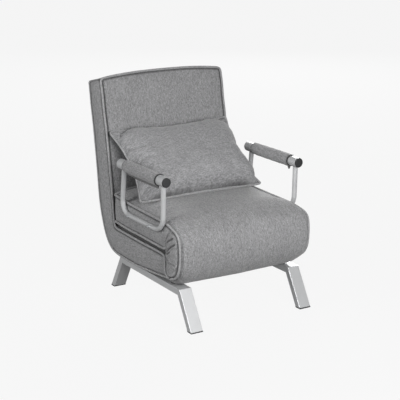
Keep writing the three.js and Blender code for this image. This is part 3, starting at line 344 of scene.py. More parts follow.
# %% Add the side panels
cover_points, cover_faces, cover_uv = [loop.reshape(-1, 3)], [quads(closed)], [corner_values(uv_loop)]
count = LOOP * COLUMNS
inner_rows = ROWS + inner_steps + np.arange(ROWS)[::-1]
for panel, column in zip(side_panels, (0, COLUMNS - 1)):
    grid = np.zeros((PANEL_STEPS, ROWS), int)
    grid[0] = number[:ROWS, column]
    grid[-1] = number[inner_rows, column]
    grid[1:-1, 1:-1] = count + np.arange(inner_steps * (ROWS - 2)).reshape(inner_steps, ROWS - 2)
    grid[1:-1, -1] = number[ROWS:ROWS + inner_steps, column]
    grid[1:-1, 0] = number[LOOP - inner_steps:, column][::-1]
    count += inner_steps * (ROWS - 2)
    cover_points.append(panel[:, 1:-1].reshape(-1, 3))
    cells = quads(grid)
    depth = PANEL_CLOTH * np.arange(PANEL_STEPS)
    uv = np.dstack([np.repeat(run_outer[None], PANEL_STEPS, 0), np.repeat(depth[:, None], ROWS, 1)])
    cover_uv.append(corner_values(uv)[:, ::-1] if column else corner_values(uv))
    cover_faces.append(cells[:, ::-1] if column else cells)
cover_points = np.vstack(cover_points)
cover_faces = np.vstack(cover_faces)
cover_uv = np.vstack(cover_uv) * MM
print("cover", len(cover_points), "points", len(cover_faces), "faces")

# %% [markdown]
# ## Stuffing the cover
# A real cover is sewn a little small and its foam presses it out. The same is done here: the cover starts
# drawn in, Blender's cloth solver blows it up while its seams and the faces that lie on each other are
# held, and the movement is capped, so that the foam keeps its thickness.

# %% Cloth simulation
FRAMES = 20


def puffed(name, points, faces, held, pressure, slack, cap):
    """The points after a cloth simulation under inner pressure, in millimetres. held is 1 where a point may
    not move. A movement of length m is shortened to cap * m / (cap + m)."""
    mesh = mesh_from(name, points * MM, faces)
    probe = piece_from(name, mesh)
    group = probe.vertex_groups.new(name="held")
    for weight in np.unique(held[held > 0]):
        group.add(np.flatnonzero(held == weight).tolist(), float(weight), "REPLACE")
    cloth = probe.modifiers.new("cloth", "CLOTH")
    cloth.settings.quality = 5
    cloth.settings.mass = 0.3
    cloth.settings.vertex_group_mass = "held"
    cloth.settings.use_pressure = True
    cloth.settings.uniform_pressure_force = pressure
    cloth.settings.shrink_min = -slack
    cloth.settings.effector_weights.gravity = 0
    cloth.collision_settings.use_collision = False
    cloth.point_cache.frame_start = 1
    cloth.point_cache.frame_end = FRAMES
    scene = bpy.context.scene
    for step in range(1, FRAMES + 1):
        scene.frame_set(step)
    solved = probe.evaluated_get(bpy.context.evaluated_depsgraph_get()).data
    after = np.empty(3 * len(points))
    solved.vertices.foreach_get("co", after)
    moved = after.reshape(-1, 3) / MM - points
    length = np.linalg.norm(moved, axis=1)[:, None]
    bpy.data.objects.remove(probe)
    bpy.data.meshes.remove(mesh)
    scene.frame_set(1)
    kept = moved * cap / (cap + length)
    print(name, "moved by up to", round(length.max(), 1), "mm, kept",
          round(np.linalg.norm(kept, axis=1).max(), 1))
    return points + kept


# %% [markdown]
# Held are the side seams, the seams of the two ends, and the whole inner sheet below the backrest, because
# there the layers lie on each other.

# %% Stuff the mattress
held = np.zeros(len(cover_points))
held[number[:, [0, COLUMNS - 1]].ravel()] = 1
held[number[list(welt_rows)].ravel()] = 1
held[number[inner_rows[row_section != "back"]].ravel()] = 1
stuffed = puffed("stuffing", cover_points, cover_faces, held, 4.0, 0.01, 9.0)

# %% [markdown]
# ## Details of the cover
# The stuffed cover is subdivided once, and what is smaller than its cells is then pressed into the fine
# points: the valleys beside the welts with their puckers, and on each side the gathers of the fold. There
# the box-shaped ends of the upper and lower layer stop, and a fan of loose fabric is drawn in between them
# and the outer welt.

# %% Helpers for fine detail
def from_lines(y, z, lines):
    """The distance of each place to the nearest of several bent lines in the y-z plane."""
    place = np.stack([y, z], axis=-1)[:, None]
    start = np.concatenate([np.asarray(line[:-1], float) for line in lines])[None]
    end = np.concatenate([np.asarray(line[1:], float) for line in lines])[None]
    way = end - start
    share = np.clip(((place - start) * way).sum(-1) / (way**2).sum(-1), 0, 1)
    return np.linalg.norm(place - start - share[..., None] * way, axis=-1).min(1)


def ripple(along, period, seed):
    """A smooth irregular wave from -1 to 1: the mean of five sines with lengths round the period."""
    rng = np.random.default_rng(seed)
    waves = [np.sin(2 * np.pi * along / (period * rate) + phase)
             for rate, phase in zip(rng.uniform(0.6, 1.7, 5), rng.uniform(0, 7, 5))]
    return np.mean(waves, axis=0) * 1.6


def finer(name, points, faces, corners_uv, values):
    """The mesh after one Catmull-Clark subdivision."""
    coarse = piece_from(name + "_coarse", mesh_from(name, points, faces, corners_uv, values))
    divide = coarse.modifiers.new("subdivide", "SUBSURF")
    divide.levels = divide.render_levels = 1
    shaped = bpy.data.meshes.new_from_object(
        coarse.evaluated_get(bpy.context.evaluated_depsgraph_get()))
    bpy.data.objects.remove(coarse)
    return shaped


def read(block, key, width=1, kind=np.float32):
    """A number, or a row of them, for each item of a mesh's block."""
    flat = np.empty(width * len(block), kind)
    block.foreach_get(key, flat)
    return flat.reshape(-1, width).astype(float) if width > 1 else flat


def points_of(mesh):
    return read(mesh.vertices, "co", 3)


def value_of(mesh, key):
    return read(mesh.attributes[key].data, "value").astype(float)


def corners_of(mesh):
    return read(mesh.loops, "vertex_index", kind=np.int32)


# %% [markdown]
# The subdivision makes new points, so what the details need to know about a point travels with the mesh as
# values: how far it is from the nearest seam, whether it is on the left (-1) or right (1) side panel, and
# which row it belongs to.

# %% Values carried by the cover: distance from a seam, side, row
TOP_DEPTH, END_HEIGHT = 98.0, 105.0  # the top panel from seam to seam, and the seat's rear end
ROWS_BESIDE = 6  # a welt's valley reaches fewer rows than this
row_number = np.arange(ROWS, dtype=float)
panel_depth = np.linalg.norm(outer_sheet[:, 0, 1:] - inner_sheet[:, 0, 1:], axis=1)
from_edge = np.minimum(edge_steps[-1], np.concatenate([edge_steps, edge_steps[-2::-1]]))
seam_distance = np.repeat(from_edge[None], LOOP, 0)
end_share = np.minimum(panel_share, 1 - panel_share)[1:-1]
for first, depth in ((ROWS, END_HEIGHT), (LOOP - inner_steps, TOP_DEPTH)):
    seam_distance[first:first + inner_steps] = np.minimum(
        seam_distance[first:first + inner_steps], end_share[:, None] * depth)
for row, step in zip(welt_rows, (1, -1, 1, -1)):
    seam_distance[row] = 0
    for far in range(1, ROWS_BESIDE):
        near = np.linalg.norm(loop[row + step * far] - loop[row], axis=1)
        seam_distance[row + step * far] = np.minimum(seam_distance[row + step * far], near)
panel_distance = [np.minimum(panel_share, 1 - panel_share)[1:-1, None] * panel_depth[None, 1:-1]] * 2
row_of_loop = np.concatenate([
    row_number, np.full(inner_steps, ROWS - 1.0), row_number[::-1], np.zeros(inner_steps)])
side_value = [np.zeros(LOOP * COLUMNS)]
side_value += [np.full(p.size, s) for p, s in zip(panel_distance, (-1.0, 1.0))]
row_panel = np.repeat(row_number[None, 1:-1], inner_steps, 0).ravel()
cover_values = {
    "seam": np.concatenate([seam_distance.ravel()] + [p.ravel() for p in panel_distance]),
    "side": np.concatenate(side_value),
    "row": np.concatenate([np.repeat(row_of_loop[:, None], COLUMNS, 1).ravel(), row_panel, row_panel]),
}
cover_mesh = finer("cover", stuffed * MM, cover_faces, cover_uv, cover_values)
print("fine cover", len(cover_mesh.vertices), "points")

# %% [markdown]
# The gathers are drawn as the photograph shows them from the side: the line where the two boxes end, and
# eight creases with their strengths. In front of the line the cloth is sunk and then bulges. Each crease is
# a valley with a low roll beside it, and an irregular wave runs round the fan.

# %% The fold's gathers on the side panels, in millimetres of y and z
box_end = np.array([
    (-262, 180), (-238, 185), (-227, 200), (-227, 225), (-225, 240), (-219, 252), (-216, 267),
    (-222, 284), (-228, 297), (-228, 310), (-241, 334), (-262, 362)])
creases = [
    (0.9, [(-248, 313), (-271, 326), (-296, 340)]),
    (1.0, [(-245, 276), (-261, 289), (-281, 303), (-313, 322)]),
    (1.0, [(-236, 270), (-251, 269), (-274, 284)]),
    (0.8, [(-243, 255), (-252, 249), (-264, 245)]),
    (0.45, [(-257, 238), (-280, 240), (-309, 241)]),
    (0.8, [(-247, 239), (-247, 218)]),
    (0.45, [(-260, 217), (-265, 209), (-271, 200)]),
    (0.8, [(-240, 184), (-256, 182), (-279, 184), (-294, 192)])]
CREASE_DEPTH, CREASE_WIDTH = 7.0, 3.0
ROLL, ROLL_AT, ROLL_WIDTH = 0.3 * CREASE_DEPTH, 8.5, 4.5
CREASE_DARK, DARK_WIDTH = 1.25, 2.4
RECESS, LIP, BULGE = 6.0, 13.0, 4.5
FAN_CENTRE, FAN_WAVE = (-190, 266), 1.1
FOLD_ROWS, FRONT_ROWS = (119, 123, 178, 184), (105, 118, 196, 205)


def between(x, a, b, c, d):
    """A value that climbs from 0 to 1 between a and b and falls back between c and d."""
    return smooth_step(x, a, b) * (1 - smooth_step(x, c, d))


fine = points_of(cover_mesh) / MM
seam, side, row = (value_of(cover_mesh, key) for key in ("seam", "side", "row"))
normal = read(cover_mesh.vertex_normals, "vector", 3)
in_fold = np.abs(side) * between(row, *FOLD_ROWS)
chosen = np.flatnonzero(in_fold > 0)
y, z = fine[chosen, 1], fine[chosen, 2]
ahead = np.interp(z, box_end[:, 1], box_end[:, 0]) - y
outer_gap = seam[chosen]
loose = smooth_step(ahead, 0, 5)
press = RECESS * loose * np.exp(-np.maximum(ahead, 0) / LIP)
press -= BULGE * smooth_step(ahead, 5, 22) * smooth_step(outer_gap, 1, 18)
# painted shade along each crease, used for the dark lines further on
crease_shade = np.zeros(len(chosen))
for strength, line in creases:
    crease = from_lines(y, z, [line])
    press += loose * strength * CREASE_DEPTH * np.exp(-(crease / CREASE_WIDTH) ** 2)
    press -= loose * strength * ROLL * np.exp(-((crease - ROLL_AT) / ROLL_WIDTH) ** 2)
    crease_shade = np.maximum(crease_shade, CREASE_DARK * strength * np.exp(-(crease / DARK_WIDTH) ** 2))
angle = np.arctan2(z - FAN_CENTRE[1], FAN_CENTRE[0] - y)
press += loose * FAN_WAVE * ripple(angle * 60, 13, 5) * smooth_step(outer_gap, 2, 12)
fine[chosen, 0] -= np.sign(side[chosen]) * in_fold[chosen] * press
print("gathers", len(chosen), "points, pressed in by up to", round(press.max(), 1), "mm")

# %% [markdown]
# Beside a welt the stitches draw the cloth down into a valley with small puckers, and the broad faces are
# never quite even. The folded support leg's feet press two shallow hollows into the back's rear face.

# %% Valleys, puckers and hollows
VALLEY, PUCKER, UNEVEN = 1.6, 0.55, 0.9
HOLLOW, FOOT_X, FOOT_Z = 4.0, 95, 495
valley = VALLEY * np.exp(-((seam - 6) / 3.5) ** 2)
along = fine[:, 1] * 0.8 + fine[:, 2] * 1.1 + fine[:, 0] * 0.9
pucker = PUCKER * ripple(along, 17, 11) * np.exp(-((seam - 13) / 9) ** 2)
wave = ripple(fine[:, 0] + 0.5 * fine[:, 2], 150, 3) * ripple(fine[:, 1] - 0.6 * fine[:, 2], 120, 4)
fine += normal * (pucker - valley + UNEVEN * wave * smooth_step(seam, 15, 60))[:, None]
hollow = np.exp(-((np.abs(fine[:, 0]) - FOOT_X) / 30) ** 2 - ((fine[:, 2] - FOOT_Z) / 24) ** 2)
on_rear_face = fine[:, 1] > 300
fine[:, 1] -= HOLLOW * hollow * on_rear_face
set_points(cover_mesh, fine)

# %% [markdown]
# Painted shade draws thin dark lines on the cloth: beside the welts, less so on the front panel, in the
# creases and where the boxes end. Little light reaches the slit and the underside's edges, so painted shade
# darkens them too. The value is 1 for a seam and up to 1.25 for the darkest places.

# %% Dark lines of painted shade
on_sheet = np.abs(side) < 0.5
front_panel = on_sheet * between(row, *FRONT_ROWS)
# painted shade beside the welts, weaker on the front panel
shade = (1 - smooth_step(seam, 7.0, 11.5)) * (1 - 0.6 * front_panel)
# painted shade on the underside near its side seams, where little light reaches
facing_down = smooth_step(-normal[:, 2], 0.75, 0.95) * on_sheet * (fine[:, 2] < 200)
shade = np.maximum(shade, 1.25 * facing_down * (1 - smooth_step(seam, 30, 60)))
# painted shade on the slit's lower face
in_slit = (normal[:, 2] > 0.5) * on_sheet * (fine[:, 2] < 264) * (fine[:, 1] < 170)
shade = np.maximum(shade, in_slit * (1 - smooth_step(seam, 22, 38)))
# painted shade where the boxes end, less at the upper box, joined with the creases' painted shade
box_end_shade = np.exp(-((ahead - 3) / 3.0) ** 2) * (0.7 - 0.4 * smooth_step(z, 285, 305))
shade[chosen] = np.maximum(shade[chosen], in_fold[chosen] * np.maximum(loose * crease_shade, box_end_shade))
set_value(cover_mesh, "shade", shade)
print("darkened", int((shade > 0.5).sum()), "of", len(shade), "points")

# %% [markdown]
# ## One cover, two hinges
# A piece may bend across one joint only. The cover is parted across the middle section, which moves with
# neither the seat nor the backrest, so the two halves stay together whatever the chair does.

# %% Part the cover across the middle section
SPLIT_ROW = 98


def part_of(name, mesh, keep):
    """The faces of a mesh for which keep is true, closed by one flat wall where the rest was cut off."""
    shaped = bmesh.new()
    shaped.from_mesh(mesh)
    shaped.faces.ensure_lookup_table()
    gone = [shaped.faces[i] for i in np.flatnonzero(~keep)]
    bmesh.ops.delete(shaped, geom=gone, context="FACES")
    rim = [e for e in shaped.edges if e.is_boundary]
    for e in rim:
        e.smooth = False
    bmesh.ops.contextual_create(shaped, geom=rim)
    made = bpy.data.meshes.new(name)
    shaped.to_mesh(made)
    shaped.free()
    return piece_from(name, made)


rear_half = row[corners_of(cover_mesh).reshape(-1, 4)].mean(1) < SPLIT_ROW
back_cover = part_of("back_upholstery", cover_mesh, rear_half)
seat_cover = part_of("seat_upholstery", cover_mesh, ~rear_half)
print("back", len(back_cover.data.polygons), "seat", len(seat_cover.data.polygons), "faces")

# %% [markdown]
# ## Welts
# The panels are joined by a welt: a strip of the same cloth sewn round a cord. Each one is a tube carried
# along its seam, and all the welts of one half of the cover make one piece.

# %% Tubes along a path
WELT_RADIUS = 4.3
WELT_SIDES = 10


def softened(path, passes=2):
    """A path at even steps of 5 mm with rounded corners: each point becomes the mean of five, twice."""
    run = run_along(path)
    steps = np.linspace(0, run[-1], max(int(run[-1] / 5), 8))
    even = np.stack([np.interp(steps, run, path[:, k]) for k in range(3)], axis=1)
    for _ in range(passes):
        padded = np.vstack([2 * even[0] - even[2:0:-1], even, 2 * even[-1] - even[-2:-4:-1]])
        even = np.stack([np.convolve(padded[:, k], np.ones(5) / 5, "valid") for k in range(3)], axis=1)
    return even


def tube(path, radius=WELT_RADIUS, sides=WELT_SIDES):
    """Points, faces and cloth map of a closed tube: path + radius (n cos a + b sin a), where n and b stand
    square to the path. The two last rings shrink to close the ends."""
    ahead = np.gradient(path, axis=0)
    ahead /= np.linalg.norm(ahead, axis=1)[:, None]
    n = np.cross(ahead, [0.6, -0.55, 0.58])
    n /= np.linalg.norm(n, axis=1)[:, None]
    b = np.cross(ahead, n)
    path = np.vstack([path[:1], path, path[-1:]])
    n, b = np.vstack([n[:1], n, n[-1:]]), np.vstack([b[:1], b, b[-1:]])
    size = np.full(len(path), float(radius))
    size[[0, -1]] = 0.05 * radius
    angle = np.linspace(0, 2 * np.pi, sides, endpoint=False)
    ring = n[:, None] * np.cos(angle)[None, :, None] + b[:, None] * np.sin(angle)[None, :, None]
    points = path[:, None] + size[:, None, None] * ring
    grid = np.arange(len(path) * sides).reshape(len(path), sides)
    grid = np.hstack([grid, grid[:, :1]])
    run = run_along(path)
    uv = np.dstack([np.repeat(run[:, None], sides + 1, 1),
                    np.repeat(np.linspace(0, 2 * np.pi * radius, sides + 1)[None], len(path), 0)])
    fan = range(0, sides - 3, 2)
    caps = [[grid[0, 0], grid[0, k + 1], grid[0, k + 2], grid[0, k + 3]] for k in fan]
    caps += [[grid[-1, 0], grid[-1, k + 3], grid[-1, k + 2], grid[-1, k + 1]] for k in fan]
    faces = np.vstack([quads(grid), caps])
    maps = np.vstack([corner_values(uv), np.zeros((len(caps), 4, 2))]) * MM
    return points.reshape(-1, 3), faces, maps


def joined(parts):
    """Several (points, faces, map) as one."""
    start = np.cumsum([0] + [len(p[0]) for p in parts])
    return (np.vstack([p[0] for p in parts]),
            np.vstack([p[1] + s for p, s in zip(parts, start)]),
            np.vstack([p[2] for p in parts]))


# %% [markdown]
# The welts follow the seams of both halves, round the box of the seat and round the front panel of the
# backrest. Where a box ends at the gathers, its welt turns in: the lower one runs down the end of its box.

# %% Lay the welts
OUT = 1.2  # how far a welt stands out from its seam
lower_turn = np.array([
    (278, -212, 253.5), (279, -222, 249), (281, -227.5, 240), (284, -228, 225), (285, -228, 203),
    (285, -236, 188), (284, -256, 180)])
upper_turn = np.array([(276, -231, 300), (276, -231, 291), (276, -225, 282), (276, -214, 277)])
all_rows = np.arange(ROWS)
rear_rows, front_rows = all_rows[:SPLIT_ROW + 1], all_rows[SPLIT_ROW:]
upper_rows = all_rows[all_rows >= 169]
back_paths, seat_paths = [], []
for side_sign, column in ((-1, 0), (1, COLUMNS - 1)):
    shift = np.array([side_sign * OUT, 0, 0])
    mirror = np.array([side_sign, 1, 1])
    lower_rows = front_rows[(front_rows < 118) & (inner_sheet[front_rows, column, 1] > -200)]
    back_paths.append(outer_sheet[rear_rows, column] + shift)
    seat_paths.append(outer_sheet[front_rows, column] + shift)
    seat_paths.append(np.vstack([inner_sheet[lower_rows, column] + shift, lower_turn * mirror]))
    seat_paths.append(np.vstack([upper_turn * mirror, inner_sheet[upper_rows, column] + shift]))
back_paths.append(np.vstack([
    inner_sheet[rear_rows[::-1], 0] + (-OUT, 0, 0), inner_sheet[0, 1:-1] + (0, -0.5, 0.8),
    inner_sheet[rear_rows, COLUMNS - 1] + (OUT, 0, 0)]))
back_paths.append(outer_sheet[0] + (0, 1.0, 0.5))
seat_paths.append(outer_sheet[-1] + (0, 0.5, 0.8))
seat_paths.append(inner_sheet[-1] + (0, 0.5, 0))


def welt_piece(name, tubes):
    points, faces, uv = joined(tubes)
    return piece_from(name, mesh_from(name, points * MM, faces, uv))


back_welts = welt_piece("back_piping", [tube(softened(path)) for path in back_paths])
seat_welts = welt_piece("seat_piping", [tube(softened(path)) for path in seat_paths])
print("welts", len(back_welts.data.polygons), len(seat_welts.data.polygons), "faces")

# %% [markdown]
# ## Pillow
# Two pieces of cloth sewn edge to edge and filled: flat at the seam, swelling quickly away from it, with
# the edges drawn in between the four corners. It leans on the backrest with its lower seam on the seat. Its
# filling has sunk, so it is fullest just above the lower seam and tapers towards the upper one, and short
# creases run in from the corners.

# %% The pillow's form
pillow_width, pillow_height = 546.0, 342.0
pillow_swell = {1: 78.0, -1: 52.0}  # how far the front and rear faces stand out
side_pull, top_pull, foot_pull = 32.0, 15.0, 9.0  # how far the filling draws each edge in
pillow_seam = 2.0
CORNER_ROUND, EAR, EAR_LIFT = 5.0, 10.0, 9.0  # the right corners stand out a little in the photograph
pillow_lean_back = 253.0  # how far its upper seam lies behind its lower one
lean = math.atan2(pillow_lean_back, math.sqrt(pillow_height**2 - pillow_lean_back**2))
up_way = np.array([0, math.sin(lean), math.cos(lean)])
pillow_centre = np.array([0.0, 100.2, 518.9])
UP_STEPS, ACROSS_STEPS = 49, 73
CLOSER = 1.25  # the steps come closer towards the seams, as the sine of this angle does
across_share = np.sin(np.linspace(-1, 1, ACROSS_STEPS) * CLOSER) / math.sin(CLOSER)
up_share = np.sin(np.linspace(-1, 1, UP_STEPS) * CLOSER) / math.sin(CLOSER)


def pillow_face(face):
    """In the pillow's own plane x = u (w/2 - pull (1-v^2)) and up = v (h/2 - pull (1-u^2)), less at the
    corners, which are rounded. The thickness is (1 - u^6 - v^k)^0.5 where that is above zero, with k = 7
    below the middle and 3 above it, so the corners stay flat. The plane is then leaned back."""
    u, v = np.meshgrid(across_share, up_share)
    reached = np.abs(u) ** 6 + np.abs(v) ** np.where(v < 0, 7.0, 3.0)
    depth = np.maximum(1 - reached, 0) ** 0.5 * (1 - 0.14 * v)
    corner = CORNER_ROUND * np.abs(u * v) ** 12
    x = u * (pillow_width / 2 - (1 - v * v) * side_pull - corner)
    up = v * (pillow_height / 2 - (1 - u * u) * np.where(v < 0, foot_pull, top_pull) - corner)
    x += EAR * np.maximum(u, 0) ** 8 * np.maximum(-v, 0) ** 8
    up += EAR_LIFT * np.maximum(u, 0) ** 10 * np.maximum(v, 0) ** 4
    out = face * (pillow_seam / 2 + pillow_swell[face] * depth)
    return np.dstack([x, up * math.sin(lean) - out * math.cos(lean),
                      up * math.cos(lean) + out * math.sin(lean)]) + pillow_centre


# %% [markdown]
# The two faces share the points of their rim, so the pillow is closed. The solver then fills it as it did
# the mattress, with its rim held, because a stiff welt keeps it in shape.

# %% Sew and fill the pillow
front_face, rear_face = pillow_face(1), pillow_face(-1)
rim = (front_face + rear_face) / 2
number_front = np.arange(UP_STEPS * ACROSS_STEPS).reshape(UP_STEPS, ACROSS_STEPS)
number_rear = number_front.copy()
number_rear[1:-1, 1:-1] = number_front.size + np.arange(
    (UP_STEPS - 2) * (ACROSS_STEPS - 2)).reshape(UP_STEPS - 2, ACROSS_STEPS - 2)
edge = np.ones((UP_STEPS, ACROSS_STEPS), bool)
edge[1:-1, 1:-1] = False
front_face[edge] = rim[edge]
pillow_points = np.vstack([front_face.reshape(-1, 3), rear_face[1:-1, 1:-1].reshape(-1, 3)])
pillow_faces = np.vstack([quads(number_front), quads(number_rear)[:, ::-1]])
pillow_map = np.dstack(np.meshgrid(across_share * pillow_width / 2, up_share * pillow_height / 2)) * MM
pillow_uv = np.vstack([corner_values(pillow_map), corner_values(pillow_map)[:, ::-1]])
pillow_held = np.zeros(len(pillow_points))
pillow_held[number_front[edge]] = 1
pillow_stuffed = puffed("pillow_stuffing", pillow_points, pillow_faces, pillow_held, 3.0, 0.05, 12.0)

# %% [markdown]
# The filled pillow is subdivided once. Its cloth is puckered beside the seam, has soft broad folds and a
# few creases from the corners.

# %% Puckers and creases of the pillow
PILLOW_PUCKER, PILLOW_FOLD, TUCK, TUCK_ROLL = 1.3, 2.4, 3.4, 1.4
plane_u = pillow_points[:, 0] / (pillow_width / 2)
plane_up = (pillow_points - pillow_centre) @ up_way / (pillow_height / 2)
from_rim = np.minimum((1 - np.abs(plane_u)) * pillow_width / 2, (1 - np.abs(plane_up)) * pillow_height / 2)
pillow_mesh = finer(
    "pillow", pillow_stuffed * MM, pillow_faces, pillow_uv, {"seam": np.maximum(from_rim, 0)})
pillow_fine = points_of(pillow_mesh) / MM
pillow_rim = value_of(pillow_mesh, "seam")
pillow_normal = read(pillow_mesh.vertex_normals, "vector", 3)
across_place, up_place = pillow_fine[:, 0].copy(), (pillow_fine - pillow_centre) @ up_way
pucker = ripple(across_place + 0.6 * up_place, 34, 21) * np.exp(-((pillow_rim - 18) / 20) ** 2)
fold_lines = ripple(across_place - 0.9 * up_place, 120, 8) * ripple(up_place + 0.3 * across_place, 90, 9)
pillow_creases = [
    [(-262, -160), (-238, -128), (-205, -112)], [(-258, -150), (-215, -146), (-178, -138)],
    [(-250, 60), (-222, 42), (-190, 36)], [(-246, -30), (-216, -14), (-180, -16)],
    [(262, 160), (236, 138), (196, 132)], [(260, 150), (244, 118), (236, 84)],
    [(262, -160), (240, -130), (214, -118)], [(-262, 160), (-236, 140), (-206, 134)]]
crease = from_lines(across_place, up_place, pillow_creases)
tuck = TUCK * np.exp(-(crease / 6) ** 2) - TUCK_ROLL * np.exp(-((crease - 15) / 9) ** 2)
tuck = tuck * smooth_step(pillow_rim, 1, 14)
fold_lines = fold_lines * smooth_step(pillow_rim, 10, 60)
pillow_fine += pillow_normal * (PILLOW_PUCKER * pucker - tuck + PILLOW_FOLD * fold_lines)[:, None]
print("pillow", len(pillow_fine), "points")

# %% [markdown]
# The pillow may not sink into what it rests on. Where it would, it is lifted onto the seat or moved in
# front of the backrest, and its flat rim is held a little higher, as stiff seams are.

# %% Rest the pillow on the seat and against the backrest
def seat_top_at(x, y):
    """The height of the seat's upper face: the seam line plus its crown."""
    line = outer_line[sections["seat"][0][0]:]
    base = np.interp(y, line[:, 0], line[:, 1])
    return base + line[-1, 2] * (1 - np.abs(np.clip(x / HALF_WIDTH, -1, 1)) ** sections["seat"][3])


def back_front_at(x, z):
    """The place of the backrest's front face: the seam line less its greatest crown, 7 mm."""
    line = inner_line[sections["back"][1][1]::-1]
    crown = 7 * (1 - np.abs(np.clip(x / HALF_WIDTH, -1, 1)) ** sections["back"][3])
    return np.interp(z, line[:, 1], line[:, 0]) - crown


def rested(points, lift, gap):
    """The points, not lower than lift above the seat and not nearer than gap to the backrest."""
    points[:, 2] = np.maximum(points[:, 2], seat_top_at(points[:, 0], points[:, 1]) + lift)
    points[:, 1] = np.minimum(points[:, 1], back_front_at(points[:, 0], points[:, 2]) - gap)
    return points


REST_GAP, FLANGE_LIFT, FLANGE_WIDTH = 1.5, 7.5, 14
PILLOW_WELT = 4.2
pillow_fine = rested(pillow_fine, REST_GAP + FLANGE_LIFT * np.exp(-pillow_rim / FLANGE_WIDTH), REST_GAP)
set_points(pillow_mesh, pillow_fine)
# painted shade beside the seam and, fainter, along the creases
set_value(pillow_mesh, "shade", np.maximum(
    np.exp(-((pillow_rim - 6) / 4.5) ** 2), 0.25 * np.exp(-(crease / 4) ** 2)))
pillow_cover = piece_from("pillow_cover", pillow_mesh)
rim_line = np.vstack([rim[0, :-1], rim[:-1, -1], rim[-1, :0:-1], rim[::-1, 0]])
rim_line = rested(rim_line, REST_GAP + FLANGE_LIFT, REST_GAP + 3)
pillow_welt = welt_piece("pillow_piping", [tube(softened(rim_line, 1), PILLOW_WELT)])
print("lowest point of the pillow", round(pillow_fine[:, 2].min(), 1), "mm")

# %% [markdown]
# ## Arm pads
# A sleeve of foam and cloth is wrapped round each hand bar and closed underneath by a dark strip of hook
# and loop tape, whose edge hangs out a little. Its hems are tighter than its middle; painted shade darkens
# the stitched dip of each hem, and a band of painted shadow lies on the front hem.

# %% Arm sleeves
PAD_START, PAD_END = -209.0, 46.7
PAD_HEIGHT, PAD_ACROSS = 535.9, 289.9
PAD_RADIUS, BAR_RADIUS = 22.3, 19.5
pad_ends = np.array([0, 0, 1.5, 3, 4.5, 7, 9, 11])
pad_length = PAD_END - PAD_START
pad_along = np.concatenate([pad_ends, np.linspace(16, pad_length - 16, 42), pad_length - pad_ends[::-1]])
PAD_SIDES = 72
TAPE = {-1: (12.0, 0.0), 1: (3.0, 11.0)}  # how far it hangs out, all along and more at its front end
TAPE_AT, TAPE_WIDTH = 1.5 * np.pi, 0.085  # its angle round the bar, and how sharp its edge is
HEM_STITCH, HEM_TURN, SLEEVE_WAVE, SLEEVE_FULL = 1.3, 1.0, 0.35, 0.9


def sleeve(side, seed):
    """Rings round the bar: radius = cloth radius - dips at the hems' stitches and edges + waves, and the
    first and last ring lie on the bar. The tape is a ridge along the underside."""
    angle = np.linspace(0, 2 * np.pi, PAD_SIDES, endpoint=False)[None]
    place = pad_along[:, None]
    length = pad_along[-1]
    from_end = np.minimum(place, length - place)
    radius = PAD_RADIUS - HEM_STITCH * np.exp(-((from_end - 9) / 1.8) ** 2)
    radius = radius - HEM_TURN * np.exp(-(from_end / 2.0) ** 2)
    radius = radius + SLEEVE_WAVE * ripple(place + 14 * np.cos(angle + seed), 46, seed)
    radius = radius + SLEEVE_FULL * np.sin(np.pi * place / length) ** 0.5
    along_tape = smooth_step(from_end, 6, 12)
    tape_end = np.exp(-((place - 17) / 8) ** 4)
    ridge = np.exp(-((angle - TAPE_AT) / TAPE_WIDTH) ** 2)
    radius = radius + (TAPE[side][0] + TAPE[side][1] * tape_end) * along_tape * ridge
    radius[[0, -1]] = BAR_RADIUS
    x = side * (PAD_ACROSS + radius * np.cos(angle))
    y = PAD_START + np.repeat(place, PAD_SIDES, 1)
    z = PAD_HEIGHT + radius * np.sin(angle)
    rows = np.dstack([x, y, z])
    grid = np.arange(rows.size // 3).reshape(len(pad_along), PAD_SIDES)
    shell = np.hstack([grid, grid[:, :1]])
    lining = np.vstack([shell[-1:], shell[:1]])
    uv = np.dstack([np.repeat(place, PAD_SIDES + 1, 1), np.repeat(
        np.linspace(0, 2 * np.pi * PAD_RADIUS, PAD_SIDES + 1)[None], len(pad_along), 0)])
    uv_lining = np.vstack([uv[-1:], uv[:1]])
    faces = np.vstack([quads(shell), quads(lining)])
    # painted shadow on the front hem, where the sleeve meets the bar, and painted shade in each hem's
    # stitched dip; the tape is dark cloth
    front_hem_shadow = 1.25 * (place < 6)
    shade = 0.5 * np.exp(-((from_end - 9) / 1.6) ** 2) + front_hem_shadow + 1.25 * along_tape * ridge**0.5
    shade = np.clip(np.broadcast_to(shade, (len(pad_along), PAD_SIDES)), 0, 1.25)
    maps = np.vstack([corner_values(uv), corner_values(uv_lining)]) * MM
    return rows.reshape(-1, 3), faces, maps, shade.ravel()


sleeves = {}
for word, side_sign, seed in (("left", -1, 31), ("right", 1, 57)):
    points, faces, maps, pad_shade = sleeve(side_sign, seed)
    sleeves[word] = piece_from(word + "_arm_sleeve", mesh_from(
        word + "_arm_sleeve", points * MM, faces, maps, {"shade": pad_shade}))
print("sleeves", len(sleeves["left"].data.polygons), "faces each")

# %% [markdown]
# ## Materials
# Colours are written as sRGB hex and turned to linear light by one function. One helper adds a node with
# its settings and its links; everything else is said where it is used.

# %% Colour and node helpers
def colour(text):
    """sRGB hex to linear: c / 12.92 below 0.04045, else ((c + 0.055) / 1.055) ^ 2.4."""
    c = np.array([int(text[i:i + 2], 16) for i in (1, 3, 5)]) / 255
    return (*np.where(c <= 0.04045, c / 12.92, ((c + 0.055) / 1.055) ** 2.4), 1.0)


def add(tree, kind, inputs=None, **settings):
    """A new node; an input given as another node's output is linked, and any other is set."""
    made = tree.nodes.new(kind)
    for key, value in settings.items():
        setattr(made, key, value)
    for key, value in (inputs or {}).items():
        if isinstance(value, bpy.types.NodeSocket):
            tree.links.new(value, made.inputs[key])
        else:
            made.inputs[key].default_value = value
    return made


